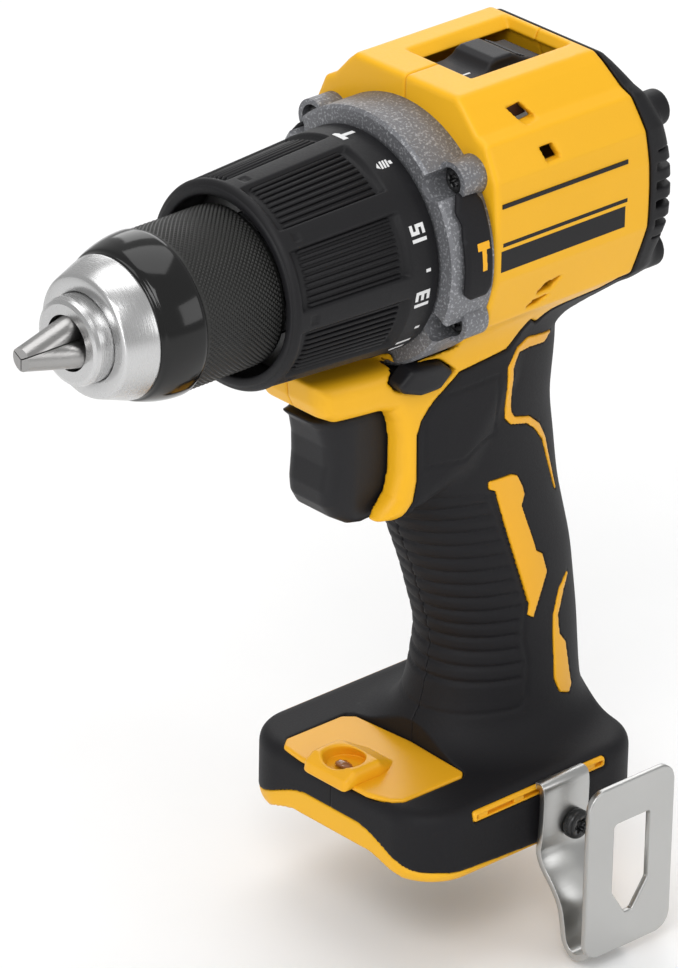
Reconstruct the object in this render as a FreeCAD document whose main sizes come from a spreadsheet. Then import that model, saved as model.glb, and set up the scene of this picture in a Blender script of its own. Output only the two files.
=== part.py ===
"""Cordless hammer drill, bare tool, as an assembly of separate pieces.

Frame: the spindle runs along X with the chuck mouth at x = 0 and the nose pointing
to -X, +Z is up, and the drill's left side is -Y. Sizes are millimetres.
"""
import FreeCAD, Part
import math
import os
import re
import Sketcher

Vector = FreeCAD.Vector
Rotation = FreeCAD.Rotation
X_AXIS = Vector(1, 0, 0)

# ---------------------------------------------------------------- driving sizes
SIZES = {
    "Clearances": {
        "running_gap": 0.06,        # shaft in its bore
        "seat_gap": 0.05,           # fixed piece in its seat
        "moving_gap": 0.4,          # pieces that pass each other
        "thread_gap": 0.05,         # screw in its hole
    },
    "Chuck": {
        "mouth_radius": 6.95, "nose_radius": 10.9, "nose_length": 4.9, "nose_rounding": 1.4,
        "chuck_radius": 14.3, "chuck_length": 46.0, "chuck_web": 3.0, "mouth_depth": 27.0,
        "chuck_neck": 15.2,
        "jaw_radius": 3.4, "jaw_angle": 16.4, "jaw_length": 32.0, "jaw_reach": 13.8,
        "jaw_parting": 0.16,
        "ring_radius": 15.2, "cone_length": 8.7, "cone_radius": 17.9, "ring_wall": 1.5,
        "band_length": 12.1, "band_radius": 20.7,
        "sleeve_radius": 20.3, "sleeve_wall": 2.0, "sleeve_shown": 22.2, "sleeve_hidden": 2.4,
        "nut_length": 6.4, "nut_front": 8.2, "nut_radius": 14.4, "nut_bore": 11.8,
        "chuck_screw_radius": 3.0, "chuck_screw_head": 5.0, "chuck_screw_length": 15.0,
    },
    "Spindle": {
        "thread_radius": 6.3, "spindle_shoulder": 8.4, "journal_radius": 6.0,
        "spindle_radius": 7.0, "bearing_radius": 11.0, "bearing_length": 7.0,
        "bearing_start": 9.6, "hub_radius": 5.0, "hub_length": 8.0,
        "ratchet_length": 3.2, "ratchet_start": 21.0, "ratchet_depth": 0.8,
    },
    "Clutch collar": {
        "collar_front_radius": 26.3, "collar_rear_radius": 28.3, "collar_length": 44.3,
        "collar_mouth": 22.5, "collar_wall": 2.2, "collar_rounding": 1.8,
        "clutch_nut_start": 12.6, "clutch_nut_length": 5.0,
        "coil_wire": 1.3, "coil_radius": 18.4, "coil_turns": 5,
        "clutch_plate_length": 1.8, "clutch_pin_radius": 2.0, "clutch_pin_circle": 18.6,
        "clutch_pin_count": 6,
    },
    "Gear case": {
        "case_nose_radius": 15.0, "case_nose_start": 7.0, "case_step": 12.8,
        "case_step_radius": 24.6, "flange_length": 13.2, "flange_radius": 32.6,
        "case_wall": 15.6, "case_bore": 10.9,
        "case_screw_y": 24.4, "case_screw_top": 21.0, "case_screw_y_low": 26.3,
        "case_screw_low": 15.0, "case_boss_radius": 5.0, "case_boss_length": 7.4,
        "case_screw_radius": 1.75, "case_screw_head": 3.4, "case_screw_sink": 1.0,
        "case_screw_head_length": 3.0, "case_screw_length": 17.0,
        "bumper_thickness": 1.3, "bumper_length": 10.0, "bumper_top": 20.0,
        "bumper_bottom": -7.0,
    },
    "Gear train": {
        "tooth_module": 1.0, "sun_teeth": 12, "planet_teeth": 12, "tooth_play": 0.24,
        "planet_width": 6.0, "planet_count": 3, "planet_pin": 2.0, "carrier_thickness": 2.5,
        "carrier_radius": 15.6, "drum_length": 9.5, "stage_gap": 0.5, "ring_wall_gear": 2.4,
        "shift_ring_length": 10.8,
    },
    "Motor": {
        "motor_plate": 3.2, "motor_gap": 6.0, "stator_radius": 25.0, "stator_length": 20.0,
        "stator_yoke": 4.5, "tooth_width": 5.0, "tooth_count": 6, "rotor_radius": 12.6,
        "air_gap": 0.6, "coil_end": 2.4, "coil_width": 2.4, "shaft_radius": 2.5,
        "fan_gap": 3.6, "fan_radius": 22.5, "fan_length": 5.6, "fan_blades": 11,
        "motor_bearing_radius": 6.5, "motor_bearing_length": 3.4,
    },
    "Barrel": {
        "barrel_half_width": 33.0, "barrel_top": 38.5, "barrel_top_half": 19.0,
        "barrel_shoulder": 19.0, "barrel_waist": -5.0, "barrel_hip": -18.0,
        "barrel_hip_half": 29.5, "barrel_bottom": -31.0, "barrel_bottom_half": 14.0,
        "barrel_length": 52.0, "barrel_rounding": 6.0, "motor_room": 28.1, "rib_length": 3.0,
        "rear_bulge_radius": 114.0,
        "window_front": 14.3, "window_length": 27.9, "window_half_width": 7.2,
        "knob_length": 20.6, "knob_height": 6.4, "knob_inset": 1.1,
        "fork_width": 7.0, "fork_height": 29.3,
    },
    "Rear cover": {
        "cover_length": 8.9, "cover_bulge_radius": 60.0, "disc_radius": 23.8, "disc_length": 6.2,
        "disc_rounding": 3.0, "cover_wall": 2.4, "lug_radius": 4.6, "lug_y": 23.5,
        "lug_top": 20.6, "lug_low": -16.8, "lug_length": 9.0, "lug_proud": 1.9,
        "cover_screw_radius": 1.5,
        "cover_screw_head": 2.9, "cover_screw_head_length": 2.2, "cover_screw_length": 13.0,
        "vent_width": 2.2, "vent_pitch": 5.0, "vent_count": 7,
    },
    "Guard, trigger and switch": {
        "guard_front": 69.0, "guard_bottom": -40.5, "guard_half_width": 12.5,
        "trigger_half_width": 10.0, "trigger_gap": 0.6, "trigger_bottom": -72.4,
        "trigger_front": 72.0, "trigger_pad": 76.4, "trigger_depth": 26.0,
        "trigger_travel": 7.0, "trigger_rounding": 3.0,
        "button_half_length": 20.4, "button_head": 3.9, "button_front": 88.6,
        "button_width": 17.6, "button_top": -30.1, "button_height": 5.8,
        "bar_width": 7.0, "bar_top": -34.4, "bar_height": 4.0,
        "switch_front": 112.0, "switch_length": 22.0, "switch_half_width": 9.8,
        "switch_top": -44.0, "switch_height": 26.0,
    },
    "Grip": {
        "overmould": 1.6, "shell_wall": 2.4, "overmould_top": -34.0,
        "root_z": -18.0, "root_centre": 122.0, "root_depth": 29.0, "root_width": 19.0,
        "neck_z": -40.0, "neck_centre": 123.0, "neck_depth": 29.2, "neck_width": 17.6,
        "waist_z": -55.0, "waist_centre": 122.6, "waist_depth": 28.4, "waist_width": 17.0,
        "throat_z": -67.0, "throat_centre": 124.6, "throat_depth": 28.4, "throat_width": 16.8,
        "palm_z": -79.0, "palm_centre": 130.6, "palm_depth": 23.6, "palm_width": 16.6,
        "hold_z": -98.0, "hold_centre": 137.0, "hold_depth": 22.3, "hold_width": 16.6,
        "heel_z": -118.0, "heel_centre": 141.6, "heel_depth": 20.6, "heel_width": 16.2,
        "ankle_z": -135.0, "ankle_centre": 141.0, "ankle_depth": 22.6, "ankle_width": 17.4,
        "sole_z": -148.6, "sole_centre": 137.5, "sole_depth": 27.5, "sole_width": 21.0,
    },
    "Foot": {
        "foot_front": 86.5, "foot_rear": 163.5, "foot_half_width": 35.6,
        "foot_top": -146.0, "foot_bottom": -165.7, "rim_height": 3.6, "foot_corner": 14.0,
       
        "rail_half_gap": 24.0, "rail_half_slot": 28.0, "rail_thickness": 5.2,
        "rail_slot_height": 3.2, "bay_rear": 151.0, "board_room": 5.0,
        "hood_front": 83.4, "hood_half_width": 8.6, "hood_top": -141.5, "hood_length": 20.0,
        "lamp_radius": 3.1, "lamp_length": 4.0, "lamp_x": 90.4,
        "board_thickness": 1.6, "board_length": 36.0, "board_half_width": 22.0,
        "block_length": 16.0, "block_half_width": 17.0, "block_height": 9.0,
        "blade_length": 18.0, "blade_thickness": 0.9, "blade_height": 4.4,
        "blade_pitch": 9.0, "blade_count": 4,
        "insert_radius": 3.3, "insert_bore": 1.65, "insert_length": 5.6,
        "insert_x": 133.1, "insert_z": -159.3,
    },
    "Belt hook": {
        "hook_thickness": 1.9, "hook_standoff": 20.0, "arm_front": 122.5, "arm_width": 16.0,
        "arm_top": -148.4, "arm_knee": -165.0, "arm_foot": -180.0, "arm_set": 9.0,
        "plate_front": 120.4, "plate_width": 29.6, "plate_top": -140.0,
        "plate_bottom": -187.5, "plate_corner": 5.0, "slot_front": 129.3,
        "slot_width": 12.4, "slot_top": -151.0, "slot_bottom": -177.6,
        "hook_screw_radius": 1.6, "hook_screw_head": 4.0, "hook_screw_head_length": 3.2,
    },
    "Case screws of the two halves": {
        "half_screw_radius": 1.45, "half_screw_head": 2.7, "half_screw_head_length": 2.2,
        "half_screw_seat": 6.0, "half_screw_length": 14.0, "half_boss_radius": 3.8,
    },
}

# Places that follow from the driving sizes, front to rear.
PLACES = {
    "ring_front": "nose_length + running_gap * 3",
    "cone_end": "ring_front + cone_length",
    "band_end": "cone_end + band_length",
    "collar_front": "band_end + sleeve_shown",
    "sleeve_end": "collar_front + sleeve_hidden",
    "collar_end": "collar_front + collar_length",
    "flange_front": "collar_end + moving_gap",
    "flange_rear": "flange_front + flange_length",
    "case_rear": "motor_plate_front",
    "case_front": "collar_front + case_nose_start",
    "case_step_front": "flange_front - case_step",
    "bearing_front": "collar_front + bearing_start",
    "ratchet_front": "collar_front + ratchet_start",
    "clutch_nut_front": "collar_front + clutch_nut_start",
    "clutch_plate_front": "case_step_front - clutch_plate_length - seat_gap",
    "gear_room": "ring_radius_gear + seat_gap",
    "sun_radius": "tooth_module * sun_teeth / 2",
    "planet_radius": "tooth_module * planet_teeth / 2",
    "planet_circle": "sun_radius + planet_radius",
    "ring_pitch": "planet_circle + planet_radius",
    "ring_radius_gear": "ring_pitch + tooth_module + ring_wall_gear",
    "carrier_2": "case_step_front + case_wall",
    "planet_2": "carrier_2 + carrier_thickness + stage_gap",
    "carrier_1": "planet_2 + planet_width + stage_gap",
    "planet_1": "carrier_1 + drum_length + stage_gap",
    "train_end": "planet_1 + planet_width + stage_gap",
    "shift_start": "planet_2 - stage_gap * 0.5",
    "shift_end": "shift_start + shift_ring_length",
    "motor_plate_front": "train_end + stage_gap",
    "motor_plate_rear": "motor_plate_front + motor_plate",
    "stator_front": "motor_plate_rear + motor_gap - coil_end",
    "stator_rear": "stator_front + stator_length",
    "fan_front": "stator_rear + fan_gap",
    "rear_bearing_front": "fan_front + fan_length + stage_gap",
    "rear_bearing_rear": "rear_bearing_front + motor_bearing_length",
    "barrel_front": "flange_rear",
    "barrel_rear": "barrel_front + barrel_length",
    "cover_rear": "barrel_rear + cover_length",
    "disc_rear": "cover_rear + disc_length",
    "lug_rear": "cover_rear + lug_proud",
    "window_start": "barrel_front + window_front",
    "window_end": "window_start + window_length",
    "knob_front": "window_start + knob_inset",
    "hook_face": "-(foot_half_width + seat_gap)",
    "hook_inner": "hook_face - hook_thickness",
    "plate_face": "hook_face - hook_standoff",
    "trigger_top": "guard_bottom - trigger_gap",
    "rail_floor": "foot_bottom + rail_thickness",
    "bay_roof": "rail_floor + rail_slot_height",
    "board_floor": "bay_roof + shell_wall",
    "board_roof": "board_floor + board_room",
}

document = FreeCAD.newDocument("cordless_drill")
sheet = document.addObject("Spreadsheet::Sheet", "sizes")
NAME = re.compile(r"[a-z][a-z_0-9]*")
FUNCTIONS = {"cos", "sin", "tan", "sqrt", "min", "max"}


def fill_sheet():
    """Writes every driving size, with its group, into the spreadsheet."""
    row = 1
    for group, sizes in SIZES.items():
        sheet.set(f"A{row}", group)
        row += 1
        for alias, number in sizes.items():
            sheet.set(f"A{row}", alias)
            sheet.set(f"B{row}", str(number))
            sheet.setAlias(f"B{row}", alias)
            row += 1
    document.recompute()


def link(expression):
    """Turns plain size and place names into references to the sheet's cells."""
    def swap(match):
        name = match.group(0)
        if name in FUNCTIONS:
            return name
        if name in PLACES:
            return "(" + link(PLACES[name]) + ")"
        return "sizes." + name
    return NAME.sub(swap, str(expression))


def number(expression):
    """The value that an expression of size names has now."""
    return float(sheet.evalExpression(link(expression)))


def bind(thing, **expressions):
    """Binds properties of an object to the sheet; a dot is written as two underscores."""
    for name, expression in expressions.items():
        thing.setExpression(name.replace("__", "."), link(expression))
    return thing


# ---------------------------------------------------------------- Part objects
def box(name, x, y, z):
    """A block between the pairs of expressions x, y and z."""
    block = document.addObject("Part::Box", name)
    bind(block, Length=f"{x[1]} - ({x[0]})", Width=f"{y[1]} - ({y[0]})",
         Height=f"{z[1]} - ({z[0]})",
         Placement__Base__x=x[0], Placement__Base__y=y[0], Placement__Base__z=z[0])
    return block


def rod(name, radius, ends, across=("0", "0"), along="x"):
    """A cylinder along x or y, between two expressions, at its other two coordinates."""
    cylinder = document.addObject("Part::Cylinder", name)
    turns = {"x": Rotation(Vector(0, 1, 0), 90), "y": Rotation(X_AXIS, -90), "z": Rotation()}
    cylinder.Placement = FreeCAD.Placement(Vector(), turns[along])
    places = dict(zip([a for a in "xyz" if a != along], across))
    places[along] = ends[0]
    bind(cylinder, Radius=radius, Height=f"{ends[1]} - ({ends[0]})",
         Placement__Base__x=places["x"], Placement__Base__y=places["y"],
         Placement__Base__z=places["z"])
    return cylinder


def fused(name, *pieces):
    """One solid from several touching ones."""
    if len(pieces) == 1:
        return pieces[0]
    union = document.addObject("Part::MultiFuse", name)
    union.Shapes = list(pieces)
    union.Refine = True
    return union


def cut(name, base, *tools):
    """The base with every tool taken out of it."""
    result = document.addObject("Part::Cut", name)
    result.Base = base
    result.Tool = fused(name + "_tools", *tools)
    result.Refine = True
    return result


def common(name, *pieces):
    """What all the pieces share."""
    result = document.addObject("Part::MultiCommon", name)
    result.Shapes = list(pieces)
    return result


def grouped(name, pieces):
    """Several separate solids kept as one node."""
    group = document.addObject("Part::Compound", name)
    group.Links = list(pieces)
    return group


def turned(name, source, angle):
    """A copy of a piece turned about the spindle axis."""
    copy = document.addObject("Part::Compound", name)
    copy.Links = [source]
    copy.Placement = FreeCAD.Placement(Vector(), Rotation(X_AXIS, angle))
    return copy


def around(name, source, count, start=0):
    """Copies of a piece, evenly spaced about the spindle axis."""
    return [turned(f"{name}_{i}", source, start + 360.0 * i / count) for i in range(count)]


# ---------------------------------------------------------- PartDesign objects
def origin_plane(body, role):
    """One of the body's own origin planes."""
    return next(f for f in body.Origin.OriginFeatures if f.Role == role)


def outline_sketch(body, name, role, outline, offset=None):
    """A closed outline of straight edges, each corner bound to the sheet."""
    sketch = body.newObject("Sketcher::SketchObject", name)
    sketch.AttachmentSupport = (origin_plane(body, role), [""])
    sketch.MapMode = "FlatFace"
    if offset is not None:
        sketch.setExpression("AttachmentOffset.Base.z", link(offset))
    corners = [Vector(number(u), number(v), 0) for u, v in outline]
    count = len(corners)
    for i in range(count):
        sketch.addGeometry(Part.LineSegment(corners[i], corners[(i + 1) % count]), False)
    for i in range(count):
        sketch.addConstraint(Sketcher.Constraint("Coincident", i, 2, (i + 1) % count, 1))
    for i, corner in enumerate(outline):
        for kind, axis, expression in (("DistanceX", -2, corner[0]), ("DistanceY", -1, corner[1])):
            if expression == "0":
                sketch.addConstraint(Sketcher.Constraint("PointOnObject", i, 1, axis))
                continue
            start = number(expression)
            index = sketch.addConstraint(Sketcher.Constraint(kind, -1, 1, i, 1, start))
            sketch.setExpression(f"Constraints[{index}]", link(expression))
    return sketch


def revolved(name, outline):
    """A body turned about the spindle axis from an outline of (x, radius) corners."""
    body = document.addObject("PartDesign::Body", name)
    sketch = outline_sketch(body, name + "_outline", "XZ_Plane", outline)
    turn = body.newObject("PartDesign::Revolution", name + "_turn")
    turn.Profile = sketch
    turn.ReferenceAxis = (sketch, ["H_Axis"])
    turn.Angle = 360
    sketch.Visibility = False
    return body


def tube(name, ends, bore, radius):
    """A plain ring about the spindle axis."""
    return revolved(name, [(ends[0], bore), (ends[0], radius), (ends[1], radius), (ends[1], bore)])


PAD_PLANES = {"x": ("YZ_Plane", 1), "y": ("XZ_Plane", -1), "z": ("XY_Plane", 1)}


def padded(name, along, outline, ends, rounding=None, rounded=None):
    """A body padded along an axis between two places, with chosen edges rounded."""
    body = document.addObject("PartDesign::Body", name)
    role, sense = PAD_PLANES[along]
    offset = ends[0] if sense > 0 else f"-({ends[1]})"
    sketch = outline_sketch(body, name + "_outline", role, outline, offset)
    pad = body.newObject("PartDesign::Pad", name + "_pad")
    pad.Profile = sketch
    bind(pad, Length=f"{ends[1]} - ({ends[0]})")
    if rounding:
        document.recompute()
        edges = [f"Edge{i}" for i, e in enumerate(pad.Shape.Edges, 1) if rounded(e)]
        fillet = body.newObject("PartDesign::Fillet", name + "_fillet")
        fillet.Base = (pad, edges)
        bind(fillet, Radius=rounding)
    return body


def runs_along(axis, where=None):
    """Picks straight edges along an axis, optionally only those whose middle fits a test."""
    def test(edge):
        ends = [v.Point for v in edge.Vertexes]
        if len(ends) != 2:
            return False
        direction = (ends[1] - ends[0]).normalize()
        if abs(getattr(direction, axis)) < 0.999:
            return False
        return where is None or where((ends[0] + ends[1]) * 0.5)
    return test


# --------------------------------------------------------------------- the nodes
nodes = []


def node(piece, name, turn=None):
    """Names a finished sub-part, and turns it about the spindle axis if asked."""
    piece.Label = name
    if turn is not None:
        piece.Placement = FreeCAD.Placement(Vector(), Rotation(X_AXIS, turn))
    nodes.append(piece)
    return piece


def teeth_shape(count, root, pitch, tip, half_pitch, ends, bore=None):
    """A toothed wheel along the spindle axis: straight flanks through three radii."""
    step = 2 * math.pi / count
    corners = []
    for i in range(count):
        flank = [(root, 1.15 * half_pitch), (pitch, half_pitch), (tip, 0.4 * half_pitch)]
        for radius, half in flank:
            corners.append((radius, i * step - half))
        for radius, half in reversed(flank):
            corners.append((radius, i * step + half))
    points = [Vector(ends[0], r * math.sin(a), r * math.cos(a)) for r, a in corners]
    wheel = Part.Face(Part.makePolygon(points + points[:1]))
    wheel = wheel.extrude(Vector(ends[1] - ends[0], 0, 0))
    if bore:
        wheel = wheel.cut(Part.makeCylinder(bore, ends[1] - ends[0], Vector(ends[0], 0, 0), X_AXIS))
    return wheel


def outer_wheel(name, count_name, ends, bore):
    """A sun, planet or pinion with its teeth outwards."""
    module = number("tooth_module")
    count = int(number(count_name))
    pitch = module * count / 2
    half = (math.pi * module / 2 - number("tooth_play")) / 2 / pitch
    wheel = document.addObject("Part::Feature", name)
    wheel.Shape = teeth_shape(count, pitch - 1.12 * module, pitch, pitch + 0.8 * module, half,
                              [number(e) for e in ends], number(bore) if bore else None)
    return wheel


def inner_wheel(name, ends):
    """A ring gear with its teeth inwards."""
    module = number("tooth_module")
    pitch = number("ring_pitch")
    count = round(2 * pitch / module)
    half = (math.pi * module / 2 + number("tooth_play")) / 2 / pitch
    x0, x1 = [number(e) for e in ends]
    space = teeth_shape(count, pitch - 0.85 * module, pitch, pitch + 1.15 * module, half, (x0, x1))
    space.rotate(Vector(), X_AXIS, 180.0 / count)
    rim = Part.makeCylinder(number("ring_radius_gear"), x1 - x0, Vector(x0, 0, 0), X_AXIS)
    wheel = document.addObject("Part::Feature", name)
    wheel.Shape = rim.cut(space)
    return wheel


def shifted(name, source, across):
    """A copy of a piece moved off the spindle axis along +Z."""
    copy = document.addObject("Part::Compound", name)
    copy.Links = [source]
    return bind(copy, Placement__Base__z=across)


# ----------------------------------------------------------------------- chuck
def build_chuck():
    """The chuck body, its three jaws, the nut, the sleeve and the centre screw."""
    round_off = "nose_rounding"
    blank = revolved("chuck_blank", [
        ("0", "mouth_radius"), ("0", f"nose_radius - {round_off}"),
        (f"{round_off} * 0.3", f"nose_radius - {round_off} * 0.3"), (round_off, "nose_radius"),
        ("chuck_neck", "nose_radius"), ("chuck_neck", "chuck_radius"),
        ("chuck_length", "chuck_radius"), ("chuck_length", "thread_radius + thread_gap"),
        ("mouth_depth + chuck_web", "thread_radius + thread_gap"),
        ("mouth_depth + chuck_web", "chuck_screw_radius + thread_gap"),
        ("mouth_depth", "chuck_screw_radius + thread_gap"), ("mouth_depth", "mouth_radius")])
    bore = jaw_rod("jaw_bore", "jaw_radius + running_gap", "jaw_length * 3")
    node(cut("chuck_body_cut", blank, *around("jaw_bores", bore, 3)), "chuck_body")
    side = "chuck_radius * 2"
    slope = "tan(60)"
    wedge = padded("jaw_wedge", "x", [
        ("0", "jaw_parting"), (side, f"jaw_parting + ({side}) / {slope}"), (side, side),
        (f"-({side})", side), (f"-({side})", f"jaw_parting + ({side}) / {slope}")],
        ("-jaw_reach", "jaw_length - jaw_reach"))
    shank = jaw_rod("jaw_shank", "jaw_radius", "jaw_length")
    for i in range(3):
        node(common(f"jaw_shape_{i}", shank, wedge), f"jaw_{i + 1}", 120 * i)
    screw = revolved("chuck_screw", [
        ("mouth_depth - 3", "0"), ("mouth_depth - 3", "chuck_screw_head"),
        ("mouth_depth", "chuck_screw_head"), ("mouth_depth", "chuck_screw_radius"),
        ("mouth_depth + chuck_screw_length", "chuck_screw_radius"),
        ("mouth_depth + chuck_screw_length", "0")])
    node(screw, "chuck_screw")
    node(tube("jaw_nut", ("nut_front", "nut_front + nut_length"), "nut_bore", "nut_radius"),
         "jaw_nut")
    ring = revolved("sleeve_front_ring", [
        ("ring_front", "nose_radius + moving_gap * 0.75"), ("ring_front", "ring_radius - 0.5"),
        ("ring_front + 0.4", "ring_radius"), ("cone_end", "cone_radius"),
        ("cone_end", "cone_radius - ring_wall"), ("nut_front", "nut_radius + seat_gap"),
        ("ring_front + ring_wall", "nut_radius + seat_gap"),
        ("ring_front + ring_wall", "nose_radius + moving_gap * 0.75")])
    node(ring, "sleeve_front_ring")
    bore = "chuck_radius + 0.5"
    band = revolved("sleeve_band", [
        ("cone_end", bore), ("cone_end", "cone_radius"),
        ("cone_end + band_length * 0.3", "cone_radius + (band_radius - cone_radius) * 0.52"),
        ("cone_end + band_length * 0.65", "cone_radius + (band_radius - cone_radius) * 0.86"),
        ("band_end", "band_radius"), ("band_end", bore)])
    node(band, "sleeve_band")
    sleeve = revolved("chuck_sleeve", [
        ("band_end", "sleeve_radius - sleeve_wall"), ("band_end", "sleeve_radius"),
        ("sleeve_end - 0.8", "sleeve_radius"), ("sleeve_end", "sleeve_radius - 0.8"),
        ("sleeve_end", "sleeve_radius - sleeve_wall")])
    node(sleeve, "chuck_sleeve")


def jaw_rod(name, radius, length):
    """A rod on a jaw's own inclined line, in the plane y = 0, from beyond the jaw's tip."""
    slant = document.addObject("Part::Cylinder", name)
    slant.Placement = FreeCAD.Placement(Vector(), Rotation(Vector(0, 1, 0), 0))
    lead = "jaw_reach * 1.4"
    centre = "(mouth_radius - 0.06 - jaw_radius / cos(jaw_angle))"
    bind(slant, Radius=radius, Height=f"{lead} + {length}",
         Placement__Base__x=f"-({lead})", Placement__Base__z=f"{centre} - {lead} * tan(jaw_angle)")
    slant.setExpression("Placement.Rotation.Axis.y", "1")
    slant.setExpression("Placement.Rotation.Angle", link("90 - jaw_angle"))
    return slant


# --------------------------------------------------------------------- spindle
def build_spindle():
    """The spindle with its bearing and the two ratchets of the hammer action."""
    bearing_rear = "bearing_front + bearing_length"
    hub_front = "carrier_2 + carrier_thickness - hub_length"
    node(revolved("spindle", [
        ("mouth_depth + chuck_web", "chuck_screw_radius + thread_gap"),
        ("mouth_depth + chuck_web", "thread_radius"), ("chuck_length", "thread_radius"),
        ("chuck_length + 0.1", "spindle_shoulder"), ("bearing_front - 0.3", "spindle_shoulder"),
        ("bearing_front - 0.3", "journal_radius"), (f"{bearing_rear} + 0.3", "journal_radius"),
        (f"{bearing_rear} + 0.3", "spindle_radius"), (f"{hub_front} - 0.2", "spindle_radius"),
        (f"{hub_front} - 0.2", "hub_radius"), ("carrier_2 + carrier_thickness", "hub_radius"),
        ("carrier_2 + carrier_thickness", "0"),
        ("mouth_depth + chuck_screw_length + 1", "0"),
        ("mouth_depth + chuck_screw_length + 1", "chuck_screw_radius + thread_gap")]), "spindle")
    node(tube("spindle_bearing", ("bearing_front", bearing_rear),
              "journal_radius + running_gap", "bearing_radius"), "spindle_bearing")
    rear = "ratchet_front + ratchet_length"
    moving = tube("ratchet_moving_blank", ("ratchet_front", rear),
                  "spindle_radius + seat_gap", "case_bore - moving_gap")
    node(toothed_face("ratchet_moving_cut", moving, f"{rear} - ratchet_depth", rear),
         "hammer_ratchet_moving")
    gap = "moving_gap"
    fixed = tube("ratchet_fixed_blank", (f"{rear} + {gap}", f"{rear} + {gap} + ratchet_length"),
                 "spindle_radius + moving_gap", "case_bore - seat_gap")
    node(toothed_face("ratchet_fixed_cut", fixed, f"{rear} + {gap}",
                      f"{rear} + {gap} + ratchet_depth"), "hammer_ratchet_fixed")


def toothed_face(name, ring, x0, x1):
    """Radial notches across one face of a ring."""
    reach = "case_bore + 1"
    notch = box(name + "_notch", (x0, x1), ("-0.8", "0.8"), (f"-({reach})", reach))
    return cut(name, ring, *around(name + "_notches", notch, 10))


# ---------------------------------------------------------------------- clutch
def build_clutch():
    """The torque collar, the nut it drives, and the spring, plate and pins of the clutch."""
    edge = "collar_rounding"
    wall = "collar_wall"
    node(revolved("clutch_collar", [
        ("collar_front", "collar_mouth"), ("collar_front", f"collar_front_radius - {edge}"),
        (f"collar_front + {edge}", "collar_front_radius"),
        (f"collar_end - {edge} * 0.5", "collar_rear_radius"),
        ("collar_end", f"collar_rear_radius - {edge} * 0.5"),
        ("collar_end", f"collar_rear_radius - {wall}"),
        (f"collar_front + {wall} * 2", f"collar_front_radius - {wall}"),
        (f"collar_front + {wall}", "collar_mouth")]), "clutch_collar")
    nut_rear = "clutch_nut_front + clutch_nut_length"
    node(tube("clutch_nut", ("clutch_nut_front", nut_rear),
              "case_nose_radius + moving_gap * 0.75",
              "collar_front_radius - collar_wall - moving_gap"), "clutch_nut")
    rings = []
    for i in range(int(number("coil_turns"))):
        coil = document.addObject("Part::Torus", f"coil_{i}")
        coil.Placement = FreeCAD.Placement(Vector(), Rotation(Vector(0, 1, 0), 90))
        first = f"{nut_rear} + coil_wire + seat_gap"
        room = f"(clutch_plate_front - coil_wire - seat_gap - ({first}))"
        bind(coil, Radius1="coil_radius", Radius2="coil_wire",
             Placement__Base__x=f"{first} + {room} * {i} / (coil_turns - 1)")
        rings.append(coil)
    ends = (f"{nut_rear} + coil_wire", "clutch_plate_front - coil_wire")
    link_wire = rod("coil_link", "coil_wire * 0.8", ends, ("0", "coil_radius"))
    node(fused("coil_joined", link_wire, *rings), "clutch_spring")
    plate_rear = "clutch_plate_front + clutch_plate_length"
    node(tube("clutch_plate", ("clutch_plate_front", plate_rear),
              "case_nose_radius + seat_gap", "clutch_pin_circle + 4"), "clutch_plate")
    pin = rod("clutch_pin", "clutch_pin_radius", (plate_rear, "carrier_2 + seat_gap"),
              ("0", "clutch_pin_circle"))
    count = int(number("clutch_pin_count"))
    node(grouped("clutch_pin_group", around("clutch_pin_copy", pin, count)), "clutch_pins")


# ------------------------------------------------------------------- gear case
def case_screw_places():
    """The four screw places of the gear case: (y, z) pairs."""
    return [(f"{side} * {y}", z) for side in (1, -1)
            for y, z in (("case_screw_y", "case_screw_top"), ("case_screw_y_low", "-case_screw_low"))]


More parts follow.
